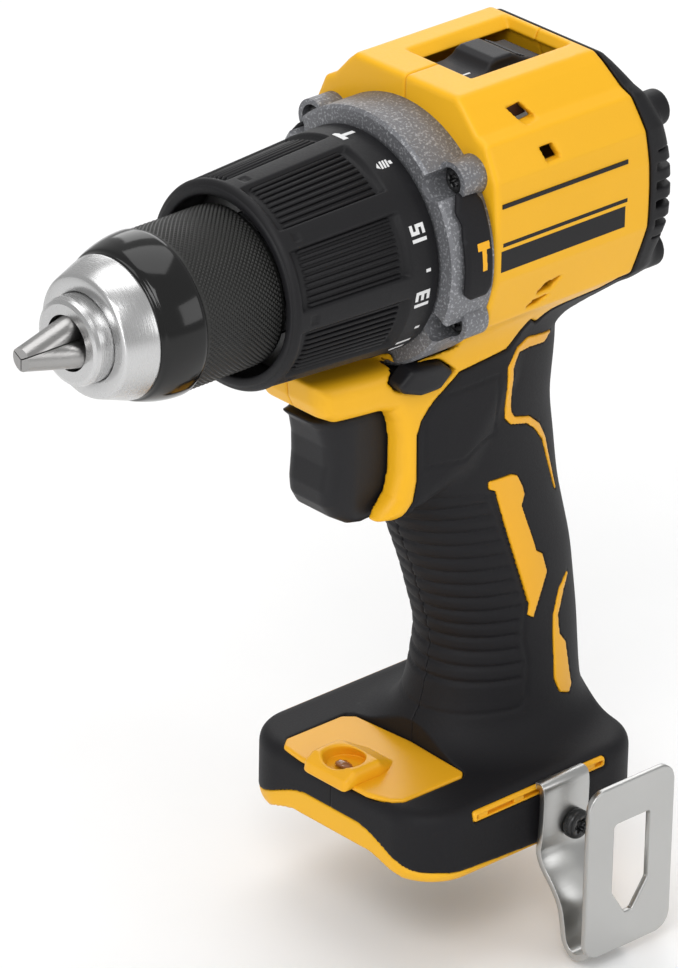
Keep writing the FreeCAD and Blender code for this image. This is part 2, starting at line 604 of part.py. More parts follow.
def build_gear_case():
    """The cast case with its screws and the two side bumpers."""
    seat = "bearing_radius + seat_gap"
    lip = "bearing_front + bearing_length + seat_gap"
    blank = revolved("case_blank", [
        ("case_front", seat), ("case_front", "case_nose_radius"),
        ("case_step_front", "case_nose_radius"), ("case_step_front", "case_step_radius"),
        ("flange_front", "case_step_radius"), ("flange_front", "flange_radius - 0.8"),
        ("flange_front + 0.8", "flange_radius"), ("flange_rear", "flange_radius"),
        ("flange_rear", "motor_room - 0.3"), ("case_rear", "motor_room - 0.3"),
        ("case_rear", "gear_room"), ("carrier_2 - seat_gap", "gear_room"),
        ("carrier_2 - seat_gap", "spindle_radius + moving_gap * 2"),
        ("case_step_front + case_wall * 0.4", "spindle_radius + moving_gap * 2"),
        ("case_step_front + case_wall * 0.4", "case_bore"),
        (f"{lip} + 1.4", "case_bore"), (f"{lip} + 1.4", "bearing_radius - 1.5"),
        (lip, "bearing_radius - 1.5"), (lip, seat)])
    bosses = []
    holes = []
    screws = []
    head = "flange_rear - case_boss_length + case_screw_sink"
    seat_x = f"{head} + case_screw_head_length"
    for i, place in enumerate(case_screw_places()):
        bosses.append(rod(f"case_boss_{i}", "case_boss_radius",
                          ("flange_rear - case_boss_length", "flange_rear"), place))
        holes.append(rod(f"case_hole_{i}", "case_screw_radius + thread_gap",
                         ("flange_front - 1", "flange_rear + 1"), place))
        holes.append(rod(f"case_sink_{i}", "case_screw_head + moving_gap * 0.5",
                         ("flange_front - 1", seat_x), place))
        screw_head = rod(f"case_head_{i}", "case_screw_head", (head, seat_x), place)
        shank = rod(f"case_shank_{i}", "case_screw_radius",
                    (f"{seat_x} - 1", f"{seat_x} + case_screw_length - 3"), place)
        screws.append(fused(f"case_screw_{i}", screw_head, shank))
    slot = box("fork_slot", ("shift_start - 0.6", "case_rear - 3"),
               ("-fork_width / 2 - moving_gap", "fork_width / 2 + moving_gap"),
               ("ring_radius_gear - 2", "motor_room + 2"))
    for i in range(int(number("clutch_pin_count"))):
        hole = rod(f"pin_hole_{i}", "clutch_pin_radius + running_gap",
                   ("case_step_front - 1", "carrier_2 + 0.5"), ("0", "clutch_pin_circle"))
        holes.append(turned(f"pin_hole_turned_{i}", hole, 360 * i / number("clutch_pin_count")))
    solid = fused("case_solid", blank, *bosses)
    room = tube("collar_room", ("collar_front", "flange_front - seat_gap"), "case_step_radius",
                "flange_radius + 8")
    node(cut("case_cut", solid, slot, room, *holes), "gear_case")
    node(grouped("case_screw_group", screws), "gear_case_screws")
    outer = "flange_radius + bumper_thickness"
    pad_ring = tube("bumper_ring", ("flange_rear - 1 - bumper_length", "flange_rear - 1"),
                    "flange_radius + seat_gap", outer)
    for side, name in ((-1, "side_bumper_left"), (1, "side_bumper_right")):
        ends = sorted([f"{side} * 20", f"{side} * ({outer} + 1)"], key=number)
        window = box(name + "_window", ("flange_front", "flange_rear"), ends,
                     ("bumper_bottom", "bumper_top - 4"))
        node(common(name + "_pad", pad_ring, window), name)


# ------------------------------------------------------------------ gear train


def build_carrier(index, plate_start, thickness, sun_front):
    """A planet carrier: plate, pins towards the rear and, if asked, the next sun in front."""
    plate_end = f"{plate_start} + {thickness}"
    pin_end = f"{plate_end} + stage_gap + planet_width"
    parts = [rod(f"carrier_{index}_plate", "carrier_radius", (plate_start, plate_end))]
    pin = rod(f"carrier_{index}_pin", "planet_pin", (f"{plate_end} - 1", pin_end),
              ("0", "planet_circle"))
    parts += around(f"carrier_{index}_pins", pin, int(number("planet_count")))
    if sun_front:
        parts.append(outer_wheel(f"carrier_{index}_sun", "sun_teeth",
                                 (sun_front, f"{plate_start} + 0.5"), None))
        return fused(f"carrier_{index}_joined", *parts)
    hub = rod(f"carrier_{index}_bore", "hub_radius + seat_gap",
              (f"{plate_start} - 1", f"{plate_end} + 1"))
    return cut(f"carrier_{index}_bored", fused(f"carrier_{index}_joined", *parts), hub)


def build_gear_train():
    """Two planetary stages: carriers, planets, the fixed ring and the shift ring."""
    node(build_carrier(2, "carrier_2", "carrier_thickness", None), "carrier_2")
    node(build_carrier(1, "carrier_1", "drum_length", "planet_2 - stage_gap * 0.5"), "carrier_1")
    for stage in (2, 1):
        start = f"planet_{stage}"
        wheel = outer_wheel(f"planet_{stage}_wheel", "planet_teeth",
                            (start, f"{start} + planet_width"), "planet_pin + running_gap")
        half_tooth = 180.0 / number("planet_teeth")
        wheel.Placement = FreeCAD.Placement(Vector(), Rotation(X_AXIS, half_tooth))
        for i in range(int(number("planet_count"))):
            placed = shifted(f"planet_{stage}_placed_{i}", wheel, "planet_circle")
            spot = turned(f"planet_{stage}_spot_{i}", placed, 120 * i)
            node(spot, f"planet_{stage}_{'abc'[i]}")
    node(inner_wheel("ring_wheel", ("planet_1 - seat_gap * 2",
                                    "planet_1 + planet_width + seat_gap * 2")), "ring_gear")
    node(inner_wheel("shift_wheel", ("shift_start", "shift_end")), "shift_ring")
    node(outer_wheel("pinion_wheel", "sun_teeth", ("planet_1 - stage_gap * 0.5", "train_end"),
                     "shaft_radius + seat_gap"), "motor_pinion")


# ----------------------------------------------------------------------- motor
def build_motor():
    """Stator, coils, rotor core, shaft, fan, the two bearings and the plate in front."""
    plate = revolved("motor_plate_blank", [
        ("motor_plate_front", "motor_bearing_radius + seat_gap"),
        ("motor_plate_front", "motor_room - 0.3"), ("motor_plate_rear", "motor_room - 0.3"),
        ("motor_plate_rear", "motor_bearing_radius + seat_gap")])
    node(plate, "motor_plate")
    bearing_front = ("motor_plate_front", "motor_plate_rear")
    node(tube("motor_bearing_front", bearing_front, "shaft_radius + running_gap",
              "motor_bearing_radius"), "motor_bearing_front")
    node(tube("motor_bearing_rear", ("rear_bearing_front", "rear_bearing_rear"),
              "shaft_radius + running_gap", "motor_bearing_radius"), "motor_bearing_rear")
    ends = ("stator_front", "stator_rear")
    inner = "rotor_radius + air_gap"
    yoke = tube("stator_yoke_ring", ends, "stator_radius - stator_yoke", "stator_radius")
    pole = box("stator_pole", ends, ("-tooth_width / 2", "tooth_width / 2"),
               (inner, "stator_radius - stator_yoke + 1"))
    count = int(number("tooth_count"))
    iron = fused("stator_joined", yoke, *around("stator_poles", pole, count))
    node(cut("stator_bored", iron, rod("stator_bore", inner, ends)), "motor_stator")
    half = "tooth_width / 2 + seat_gap"
    span = ("stator_front - coil_end", "stator_rear + coil_end")
    bobbin = box("coil_block", span, (f"-({half} + coil_width)", f"{half} + coil_width"),
                 (f"{inner} + 1.2", "stator_radius - stator_yoke - 1.2"))
    core = box("coil_core", (f"{span[0]} + coil_end - seat_gap", f"{span[1]} - coil_end + seat_gap"),
               (f"-({half})", half), (f"{inner} + 1", "stator_radius"))
    coil = cut("coil_frame", bobbin, core)
    node(grouped("coil_group", around("coil_copy", coil, count)), "motor_coils")
    node(tube("rotor_core", ends, "shaft_radius + seat_gap", "rotor_radius"), "rotor_core")
    node(rod("motor_shaft_rod", "shaft_radius", ("planet_1 - stage_gap * 0.5", "rear_bearing_rear")),
         "motor_shaft")
    disc_rear = "fan_front + 1.4"
    disc = tube("fan_disc", ("fan_front", disc_rear), "shaft_radius + seat_gap", "fan_radius")
    hub = tube("fan_hub", ("fan_front", "fan_front + fan_length"), "shaft_radius + seat_gap", "6")
    blade = box("fan_blade", (f"{disc_rear} - 0.5", "fan_front + fan_length"), ("-0.7", "0.7"),
                ("8", "fan_radius - 0.5"))
    blades = around("fan_blade_copy", blade, int(number("fan_blades")))
    node(fused("fan_joined", disc, hub, *blades), "motor_fan")


# -------------------------------------------------------------------- housing
BARREL_OUTLINE = [
    ("barrel_top_half", "barrel_top"), ("barrel_half_width", "barrel_shoulder"),
    ("barrel_half_width", "barrel_waist"), ("barrel_hip_half", "barrel_hip"),
    ("barrel_bottom_half", "barrel_bottom"), ("-barrel_bottom_half", "barrel_bottom"),
    ("-barrel_hip_half", "barrel_hip"), ("-barrel_half_width", "barrel_waist"),
    ("-barrel_half_width", "barrel_shoulder"), ("-barrel_top_half", "barrel_top")]
GRIP_LEVELS = ("root", "neck", "waist", "throat", "palm", "hold", "heel", "ankle", "sole")


def barrel_block(name, ends):
    """The barrel's rounded section between two places along the spindle."""
    return padded(name, "x", BARREL_OUTLINE, ends, "barrel_rounding", runs_along("x"))


def grip_loft(name, inset):
    """The handle: ellipses at named levels, all drawn in by the same inset."""
    sections = []
    for level in GRIP_LEVELS:
        oval = document.addObject("Part::Ellipse", f"{name}_{level}")
        bind(oval, MajorRadius=f"{level}_depth - ({inset})", MinorRadius=f"{level}_width - ({inset})",
             Placement__Base__x=f"{level}_centre", Placement__Base__z=f"{level}_z")
        sections.append(oval)
    loft = document.addObject("Part::Loft", name)
    loft.Sections = sections
    loft.Solid = True
    return loft


def foot_block(name, inset, ends):
    """The foot's rounded outline between two heights, drawn in by an inset."""
    x0, x1, half = (f"foot_front + {inset}", f"foot_rear - {inset}", f"foot_half_width - {inset}")
    return padded(name, "z", [(x0, f"-({half})"), (x1, f"-({half})"), (x1, half), (x0, half)],
                  ends, f"foot_corner - {inset}", runs_along("z"))


def half_screw_places():
    """Where the right half is screwed to the left: (x, z) pairs along the handle."""
    return [("guard_front + 14", "guard_bottom + 5"), ("neck_centre + 22", "neck_z + 2"),
            ("palm_centre + 15", "palm_z"), ("hold_centre - 12", "hold_z"),
            ("ankle_centre + 14", "ankle_z + 2"), ("foot_front + 15", "board_roof - 2.5")]


def build_housing():
    """Both shells of the housing, and the rubber moulded over the handle and foot."""
    far = "foot_half_width + 30"
    barrel = common("barrel_bulged", barrel_block("barrel_outer", ("barrel_front", "barrel_rear")),
                    rod("barrel_bulge", "rear_bulge_radius", (f"-({far})", far),
                        ("barrel_rear - rear_bulge_radius", "2"), "y"))
    skin = grip_loft("grip_skin", "0")
    core = grip_loft("grip_core", "overmould")
    bare = box("bare_neck", ("0", "300"), (f"-({far})", far), ("overmould_top", "0"))
    neck = common("neck_bare", skin, bare)
    guard = padded("guard_block", "y", [
        ("guard_front", "guard_bottom + 5"), ("guard_front + 4", "guard_bottom"),
        ("neck_centre - 10", "guard_bottom"), ("neck_centre - 10", "-20"),
        ("guard_front", "-20")], ("-guard_half_width", "guard_half_width"),
        "guard_half_width * 0.6", runs_along("z"))
    foot = foot_block("foot_core", "overmould", ("foot_bottom", "foot_top - overmould"))
    rim = foot_block("foot_rim", "0", ("foot_bottom", "foot_bottom + rim_height"))
    hood = padded("hood_block", "y", [
        ("hood_front + 3", "hood_top - 2.5"), ("hood_front + 9", "hood_top"),
        ("hood_front + hood_length", "hood_top"), ("hood_front + hood_length", "foot_top - 4"),
        ("hood_front + 1", "foot_top - 4"), ("hood_front", "foot_top - 2.6")],
        ("-hood_half_width", "hood_half_width"))
    solid = fused("housing_solid", barrel, core, neck, guard, foot, rim, hood)
    passage = "flange_radius + moving_gap"
    rooms = [
        tube("flange_room", ("flange_front - 1", "flange_rear"), "0", passage),
        tube("collar_sweep", ("collar_front - 20", "flange_front"), "0",
             "collar_rear_radius + moving_gap * 2"),
        motor_cavity("motor_cavity"),
        grip_loft("grip_cavity", "overmould + shell_wall"),
        *[cut_boss(i, place) for i, place in enumerate(case_screw_places())],
        *[rod(f"cover_thread_{i}", "cover_screw_radius + thread_gap",
              ("lug_rear - cover_screw_length - 4", "cover_rear"), place)
          for i, place in enumerate(lug_places())],
        box("fork_channel", ("barrel_front - 1", "window_end"),
            ("-fork_width / 2 - 0.6", "fork_width / 2 + 0.6"), ("motor_room - 3", "fork_height + 3.6")),
        box("knob_window", ("window_start", "window_end"),
            ("-window_half_width", "window_half_width"), ("motor_room - 3", "barrel_top + 1")),
        box("trigger_window", ("neck_centre - 40", "switch_front + 2"),
            ("-trigger_half_width - moving_gap", "trigger_half_width + moving_gap"),
            ("trigger_bottom - moving_gap", "trigger_top + trigger_gap * 0.5")),
        box("button_window", ("button_front - moving_gap", "button_front + button_width + moving_gap"),
            (f"-({far})", far), ("button_top - button_height - moving_gap", "button_top + moving_gap")),
        box("bar_window", ("button_front - moving_gap", "button_front + bar_width + moving_gap * 3"),
            ("-button_half_length", "button_half_length"),
            ("bar_top - bar_height - moving_gap", "button_top")),
        box("rail_mouth", ("0", "bay_rear"), ("-rail_half_gap", "rail_half_gap"),
            ("foot_bottom - 5", "bay_roof")),
        box("rail_slot", ("0", "bay_rear"), ("-rail_half_slot", "rail_half_slot"),
            ("rail_floor", "bay_roof")),
        box("board_bay", ("foot_front + 8", "foot_rear - 4"), ("-rail_half_slot", "rail_half_slot"),
            ("board_floor", "board_roof")),
        box("block_bay", ("bay_rear - block_length - 0.4", "bay_rear"),
            ("-block_half_width - 0.2", "block_half_width + 0.2"), ("bay_roof - 1", "board_floor + 1")),
        rod("lamp_hole", "lamp_radius + seat_gap", ("foot_top - 4", "hood_top + 1"),
            ("lamp_x", "0"), "z"),
        rod("insert_hole", "insert_radius + seat_gap", insert_span(-1),
            ("insert_x", "insert_z"), "y")]
    left_region = box("left_region", ("0", "300"), (f"-({far})", "0"), ("-250", "100"))
    hollow = cut("housing_hollow", common("housing_half", solid, left_region), *rooms)
    posts = []
    bores = {"left": [], "right": []}
    screws = []
    for i, place in enumerate(half_screw_places()):
        post = rod(f"half_post_{i}", "half_boss_radius", (f"-({far})", "0"), place, "y")
        posts.append(common(f"half_post_in_{i}", post, solid_copy(i, solid)))
        seat = "half_screw_seat"
        tip = "half_screw_seat - half_screw_length"
        radius = "half_screw_radius + thread_gap"
        for side in bores:
            bores[side].append(rod(f"half_bore_{side}_{i}", radius, (f"{tip} - 1", f"{seat} + 1"),
                                   place, "y"))
        bores["right"].append(rod(f"half_sink_{i}", "half_screw_head + 0.3", (seat, far), place, "y"))
        head = rod(f"half_head_{i}", "half_screw_head", (seat, f"{seat} + half_screw_head_length"),
                   place, "y")
        shank = rod(f"half_shank_{i}", "half_screw_radius", (tip, f"{seat} + 0.5"), place, "y")
        screws.append(fused(f"half_screw_{i}", head, shank))
    left = fused("housing_posts", hollow, *posts)
    right = document.addObject("Part::Mirroring", "housing_mirrored")
    right.Source = left
    right.Normal = Vector(0, 1, 0)
    for side, shell in (("left", left), ("right", right)):
        node(cut(f"housing_{side}_cut", shell, *bores[side]), f"housing_{side}")
    node(grouped("half_screw_group", screws), "housing_screws")
    build_overmould(far)


def solid_copy(index, solid):
    """The unhollowed housing, for trimming one screw post to it."""
    copy = document.addObject("Part::Compound", f"solid_copy_{index}")
    copy.Links = [solid]
    return copy


def insert_span(side):
    """Where a brass insert's hole runs along y, on one side of the foot."""
    face = "(foot_half_width + 1)"
    depth = "(foot_half_width - insert_length - seat_gap)"
    return (depth, face) if side > 0 else (f"-{face}", f"-{depth}")


def motor_cavity(name):
    """The room for the motor, with two ribs that hold the stator."""
    grip_rib = "stator_radius + seat_gap"
    first = "stator_front + 2"
    second = "stator_rear - 2 - rib_length"
    return revolved(name, [
        ("barrel_front - 1", "0"), ("barrel_front - 1", "motor_room"), (first, "motor_room"),
        (first, grip_rib), (f"{first} + rib_length", grip_rib),
        (f"{first} + rib_length", "motor_room"), (second, "motor_room"), (second, grip_rib),
        (f"{second} + rib_length", grip_rib), (f"{second} + rib_length", "motor_room"),
        ("barrel_rear + 1", "motor_room"), ("barrel_rear + 1", "0")])


def cut_boss(index, place):
    """Clearance in the housing for one screw of the gear case."""
    return rod(f"case_thread_{index}", "case_screw_radius + thread_gap",
               ("flange_rear - 1", "flange_rear + case_screw_length - 2"), place)


def build_overmould(far):
    """The rubber skin: the handle below its top edge, and the foot above its rim."""
    grip = common("grip_rubber", grip_loft("rubber_skin", "0"),
                  box("rubber_levels", ("0", "300"), (f"-({far})", far), ("-250", "overmould_top")))
    foot = foot_block("foot_rubber", "0", ("foot_bottom + rim_height", "foot_top"))
    outer = fused("rubber_outer", grip, foot)
    inner = fused("rubber_inner", grip_loft("rubber_core", "overmould"),
                  foot_block("foot_inner", "overmould", ("foot_bottom", "foot_top - overmould")))
    hood = box("hood_room", ("0", "hood_front + hood_length + seat_gap"),
               ("-hood_half_width - seat_gap", "hood_half_width + seat_gap"),
               ("foot_top - 4 - seat_gap", "hood_top + 5"))
    tools = [
        inner, hood,
        box("guard_room", ("0", "neck_centre - 10 + seat_gap"),
            ("-guard_half_width - seat_gap", "guard_half_width + seat_gap"),
            ("guard_bottom - seat_gap", "0")),
        box("rubber_trigger_window", ("neck_centre - 40", "switch_front + 2"),
            ("-trigger_half_width - moving_gap", "trigger_half_width + moving_gap"),
            ("trigger_bottom - moving_gap", "trigger_top + trigger_gap * 0.5")),
        box("rubber_button_window",
            ("button_front - moving_gap", "button_front + button_width + moving_gap"),
            (f"-({far})", far), ("button_top - button_height - moving_gap", "0")),
        box("rubber_rail_window", ("0", "foot_front + foot_corner"),
            ("-rail_half_slot", "rail_half_slot"), ("foot_bottom", "bay_roof")),
        *[rod(f"rubber_insert_{i}", "insert_radius + seat_gap", insert_span(side),
              ("insert_x", "insert_z"), "y") for i, side in enumerate((-1, 1))],
        *[rod(f"rubber_sink_{i}", "half_screw_head + 0.3", ("0", far), place, "y")
          for i, place in enumerate(half_screw_places())]]
    whole = cut("rubber_cut", outer, *tools)
    for side, ends in (("left", (f"-({far})", "0")), ("right", ("0", far))):
        region = box(f"rubber_{side}_region", ("0", "300"), ends, ("-250", "100"))
        node(common(f"rubber_{side}_half", whole, region), f"grip_overmould_{side}")


def lug_places():
    """The four screw lugs of the rear cover: (y, z) pairs."""
    return [(f"{side} * lug_y", z) for side in (1, -1) for z in ("lug_top", "lug_low")]


def build_rear_cover():
    """The vented cover over the fan, its four screws and the bearing seat inside."""
    block = barrel_block("cover_block", ("barrel_rear - 18", "cover_rear"))
    disc = revolved("cover_disc", [
        ("cover_rear - 4", "0"), ("cover_rear - 4", "disc_radius"),
        ("disc_rear - disc_rounding", "disc_radius"), ("disc_rear", "disc_radius - disc_rounding"),
        ("disc_rear", "0")])
    lugs = [rod(f"cover_lug_{i}", "lug_radius", ("lug_rear - lug_length", "lug_rear"), place)
            for i, place in enumerate(lug_places())]
    far = "foot_half_width + 30"
    bulge = rod("cover_bulge", "rear_bulge_radius + seat_gap", (f"-({far})", far),
                ("barrel_rear - rear_bulge_radius", "2"), "y")
    hood = box("cover_keep", ("barrel_rear - 30", "300"), (f"-({far})", far), ("-60", "60"))
    rounded = rod("cover_round", "cover_bulge_radius", (f"-({far})", far),
                  ("cover_rear - cover_bulge_radius", "2"), "y")
    skin = common("cover_skin", block, rounded)
    shell = common("cover_trimmed", fused("cover_solid", skin, disc, *lugs), hood)
    seat = "motor_bearing_radius + seat_gap"
    room = revolved("cover_room", [
        ("barrel_rear - 20", "0"), ("barrel_rear - 20", "fan_radius + 2.6"),
        ("rear_bearing_rear - 0.6", "fan_radius + 2.6"),
        ("disc_rear - cover_wall", "disc_radius - disc_rounding - 1"),
        ("disc_rear - cover_wall", "0")])
    boss = cut("bearing_boss",
               rod("bearing_boss_rod", "motor_bearing_radius + 2",
                   ("rear_bearing_front", "disc_rear - cover_wall + 0.5")),
               rod("bearing_boss_seat", seat,
                   ("rear_bearing_front - 1", "rear_bearing_rear + seat_gap")))
    grip = grip_loft("cover_grip_room", "-seat_gap")
    vents = []
    count = int(number("vent_count"))
    for i in range(count):
        height = f"vent_pitch * {i - (count - 1) / 2}"
        vents.append(box(f"cover_vent_{i}", ("disc_rear - cover_wall - 0.5", "disc_rear + 1"),
                         ("-disc_radius * 0.62", "disc_radius * 0.62"),
                         (f"{height} - vent_width / 2", f"{height} + vent_width / 2")))
    hub = tube("vent_keep", ("disc_rear - cover_wall - 1", "disc_rear + 2"), "0",
               "motor_bearing_radius + 2.5")
    vent_cut = cut("cover_vents", fused("cover_vent_group", *vents), hub)
    holes = []
    screws = []
    for i, place in enumerate(lug_places()):
        head = "lug_rear - cover_screw_head_length - 0.4"
        holes.append(rod(f"cover_hole_{i}", "cover_screw_radius + thread_gap",
                         ("barrel_rear - 30", "lug_rear + 1"), place))
        holes.append(rod(f"cover_sink_{i}", "cover_screw_head + 0.2", (head, "disc_rear"), place))
        screws.append(fused(
            f"cover_screw_{i}",
            rod(f"cover_head_{i}", "cover_screw_head",
                (head, f"{head} + cover_screw_head_length"), place),
            rod(f"cover_shank_{i}", "cover_screw_radius",
                (f"{head} - cover_screw_length", f"{head} + 0.5"), place)))
    vented = cut("cover_cut", shell, bulge, room, grip, vent_cut, *holes)
    node(fused("cover_with_boss", vented, boss), "rear_cover")
    node(grouped("cover_screw_group", screws), "rear_cover_screws")


# ------------------------------------------------------- controls and electrics
def build_controls():
    """The trigger, the direction button, the speed knob with its fork, and the switch."""
    pad = padded("trigger_pad", "y", [
        ("trigger_front", "trigger_top"), ("trigger_pad - 0.6", "trigger_top - 4.6"),
        ("trigger_pad + 0.5", "trigger_top - 13.4"), ("trigger_pad - 0.4", "trigger_bottom + 8.7"),
        ("trigger_pad + 2.6", "trigger_bottom + 4"), ("trigger_pad + 9.6", "trigger_bottom"),
        ("trigger_front + trigger_depth", "trigger_bottom"),
        ("trigger_front + trigger_depth", "trigger_top")],
        ("-trigger_half_width", "trigger_half_width"), "trigger_rounding", front_side_edge)
    stem = box("trigger_stem", ("trigger_front + trigger_depth - 1",
                                "switch_front - trigger_travel - moving_gap"),
               ("-5", "5"), ("trigger_bottom + 8", "trigger_bottom + 20"))
    node(fused("trigger_joined", pad, stem), "trigger")
    ends = ("button_front", "button_front + button_width")
    heights = ("button_top - button_height", "button_top")
    heads = []
    for side in (-1, 1):
        span = sorted([f"{side} * button_half_length",
                       f"{side} * (button_half_length - button_head)"], key=number)
        heads.append(box(f"button_head_{side + 1}", ends, span, heights))
    bar = box("button_bar", ("button_front", "button_front + bar_width"),
              ("-button_half_length + 1", "button_half_length - 1"),
              ("bar_top - bar_height", "bar_top"))
    node(fused("button_joined", bar, *heads), "direction_button")
    top = "barrel_top - 0.3"
    knob = box("knob_block", ("knob_front", "knob_front + knob_length"),
               ("-window_half_width + moving_gap", "window_half_width - moving_gap"),
               (f"{top} - knob_height", top))
    tread = [box(f"knob_groove_{i}", (f"knob_front + 3 + {i} * 2.6", f"knob_front + 4.2 + {i} * 2.6"),
                 ("-20", "20"), (f"{top} - 1", "60")) for i in range(6)]
    node(cut("knob_cut", knob, *tread), "speed_selector")
    half = ("-fork_width / 2", "fork_width / 2")
    plate = box("fork_plate", ("shift_end - 2.4", "knob_front + knob_length - 3"), half,
                ("fork_height", f"{top} - knob_height"))
    prong = box("fork_prong", ("shift_end - 2.4", "shift_end - 0.4"), half,
                ("ring_radius_gear + seat_gap", "fork_height + 1"))
    node(fused("fork_joined", plate, prong), "shift_fork")
    node(box("switch_block", ("switch_front", "switch_front + switch_length"),
             ("-switch_half_width", "switch_half_width"),
             ("switch_top - switch_height", "switch_top")), "trigger_switch")


def front_side_edge(edge):
    """Picks the edges down both sides of the trigger's front."""
    ends = [v.Point for v in edge.Vertexes]
    front = all(p.x < number("trigger_pad + 3") for p in ends)
    return front and abs(ends[0].y - ends[1].y) < 0.01


def build_electrics():
    """The lamp, the controller board, the terminal block and its blades."""
    node(rod("lamp_lens", "lamp_radius", ("foot_top - 3.6", "foot_top - 3.6 + lamp_length"),
             ("lamp_x", "0"), "z"), "work_lamp")
    node(box("board", ("bay_rear - board_length - 6", "bay_rear - 6"),
             ("-board_half_width", "board_half_width"),
             ("board_roof - 1 - board_thickness", "board_roof - 1")), "controller_board")
    rear = "bay_rear - 0.2"
    front = f"{rear} - block_length"
    top = "board_floor + 0.6"
    node(box("terminal_block_body", (front, rear), ("-block_half_width", "block_half_width"),
             (f"{top} - block_height", top)), "terminal_block")
    blades = []
    for i in range(int(number("blade_count"))):
        middle = f"blade_pitch * ({i} - (blade_count - 1) / 2)"
        blades.append(box(f"blade_{i}", (f"{front} - blade_length", front),
                          (f"{middle} - blade_thickness / 2", f"{middle} + blade_thickness / 2"),
                          (f"{top} - block_height + 0.6", f"{top} - block_height + 0.6 + blade_height")))
    node(grouped("blade_group", blades), "terminal_blades")


def build_hook():
    """The steel belt hook on the left of the foot, its screw and the two brass inserts."""
    inserts = []
    for side in (-1, 1):
        span = sorted([f"{side} * (foot_half_width - insert_length)", f"{side} * foot_half_width"],
                      key=number)
        sleeve = rod(f"insert_sleeve_{side + 1}", "insert_radius", span,
                     ("insert_x", "insert_z"), "y")
        wide = sorted([f"{side} * (foot_half_width - insert_length - 1)",
                       f"{side} * (foot_half_width + 1)"], key=number)
        bore = rod(f"insert_bore_{side + 1}", "insert_bore", wide, ("insert_x", "insert_z"), "y")
        inserts.append(cut(f"insert_{side + 1}", sleeve, bore))
    node(grouped("insert_group", inserts), "thread_inserts")
    wall = "hook_thickness"
    knee = "arm_knee"
    arm = padded("hook_arm", "x", [
        ("hook_face", "arm_top"), ("hook_face", knee),
        ("hook_face - arm_set", "arm_foot"), ("hook_face - arm_set", f"plate_bottom - {wall} * 0.6"),
        (f"hook_face - arm_set - {wall}", f"plate_bottom - {wall} * 1.4"),
        ("plate_face", f"plate_bottom - {wall} * 1.4"),
        (f"plate_face - {wall}", f"plate_bottom - {wall} * 0.6"),
        (f"plate_face - {wall}", "plate_bottom + 3"), ("plate_face", "plate_bottom + 3"),
        ("plate_face", f"plate_bottom - {wall} * 0.4"),
        (f"hook_face - arm_set - {wall}", f"plate_bottom - {wall} * 0.4"),
        (f"hook_face - arm_set - {wall}", f"arm_foot - {wall} * 0.2"),
        (f"hook_face - {wall}", f"{knee} - {wall} * 0.2"), (f"hook_face - {wall}", "arm_top")],
        ("arm_front", "arm_front + arm_width"))
    x0, x1 = "plate_front", "plate_front + plate_width"
    plate = padded("hook_plate", "y", [
        (x0, "plate_bottom"), (x1, "plate_bottom"), (x1, "plate_top"), (x0, "plate_top")],
        (f"plate_face - {wall}", "plate_face"), "plate_corner", runs_along("y"))
    s0, s1 = "slot_front", "slot_front + slot_width"
    middle = "slot_front + slot_width / 2"
    slot = padded("hook_slot", "y", [
        (s0, "slot_bottom + 6"), (middle, "slot_bottom"), (s1, "slot_bottom + 6"),
        (s1, "slot_top"), (s0, "slot_top")], (f"plate_face - {wall} - 1", "plate_face + 1"))
    hole = rod("hook_hole", "hook_screw_radius + 0.3", ("hook_inner - 1", "hook_face + 1"),
               ("insert_x", "insert_z"), "y")
    node(cut("hook_cut", fused("hook_joined", arm, plate), slot, hole), "belt_hook")
    head = ("hook_inner - hook_screw_head_length", "hook_inner")
    node(fused("hook_screw_joined",
               rod("hook_screw_top", "hook_screw_head", head, ("insert_x", "insert_z"), "y"),
               rod("hook_screw_shank", "hook_screw_radius",
                   ("hook_inner - 0.5", "-(foot_half_width - insert_length) - 0.4"),
                   ("insert_x", "insert_z"), "y")), "belt_hook_screw")


def write_nodes():
    """Checks every object of the document and writes one STEP file for each sub-part."""
    document.recompute()
    broken = [o.Name for o in document.Objects if {"Invalid", "Error"} & set(o.State)]
    for piece in nodes:
        if piece.Shape.isNull() or not piece.Shape.isValid() or not piece.Shape.Solids:
            broken.append(piece.Label)
    if broken:
        raise RuntimeError("these objects failed: " + ", ".join(broken))
    os.makedirs("parts", exist_ok=True)
    for piece in nodes:
        piece.Shape.exportStep(f"parts/{piece.Label}.step")


fill_sheet()
build_chuck()
build_spindle()
build_clutch()
build_gear_case()
build_gear_train()
build_motor()
build_housing()
build_rear_cover()
build_controls()
build_electrics()
build_hook()
write_nodes()
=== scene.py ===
"""Looks of a cordless hammer drill, built by operators around its measured frame.

Lengths inside the builders are millimetres: the nose points to -X, +Z is up and the
drill's left side is -Y. Meshes are written in metres.
"""

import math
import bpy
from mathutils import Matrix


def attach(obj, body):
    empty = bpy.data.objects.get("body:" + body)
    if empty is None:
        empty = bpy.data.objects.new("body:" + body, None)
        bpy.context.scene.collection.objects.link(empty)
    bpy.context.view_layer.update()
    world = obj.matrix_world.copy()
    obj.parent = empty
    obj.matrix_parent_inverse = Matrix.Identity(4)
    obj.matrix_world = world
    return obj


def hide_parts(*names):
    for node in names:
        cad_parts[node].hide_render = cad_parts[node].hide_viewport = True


bl_info = {
    "name": "Cordless Drill Looks",
    "version": (1, 0, 0),
    "blender": (4, 5, 0),
    "location": "3D View > Sidebar > Drill",
    "description": "Builds the visible pieces, finishes and stage of a cordless hammer drill",
    "category": "Object",
}

import bmesh
import bpy
import numpy as np
from mathutils import Matrix, Vector

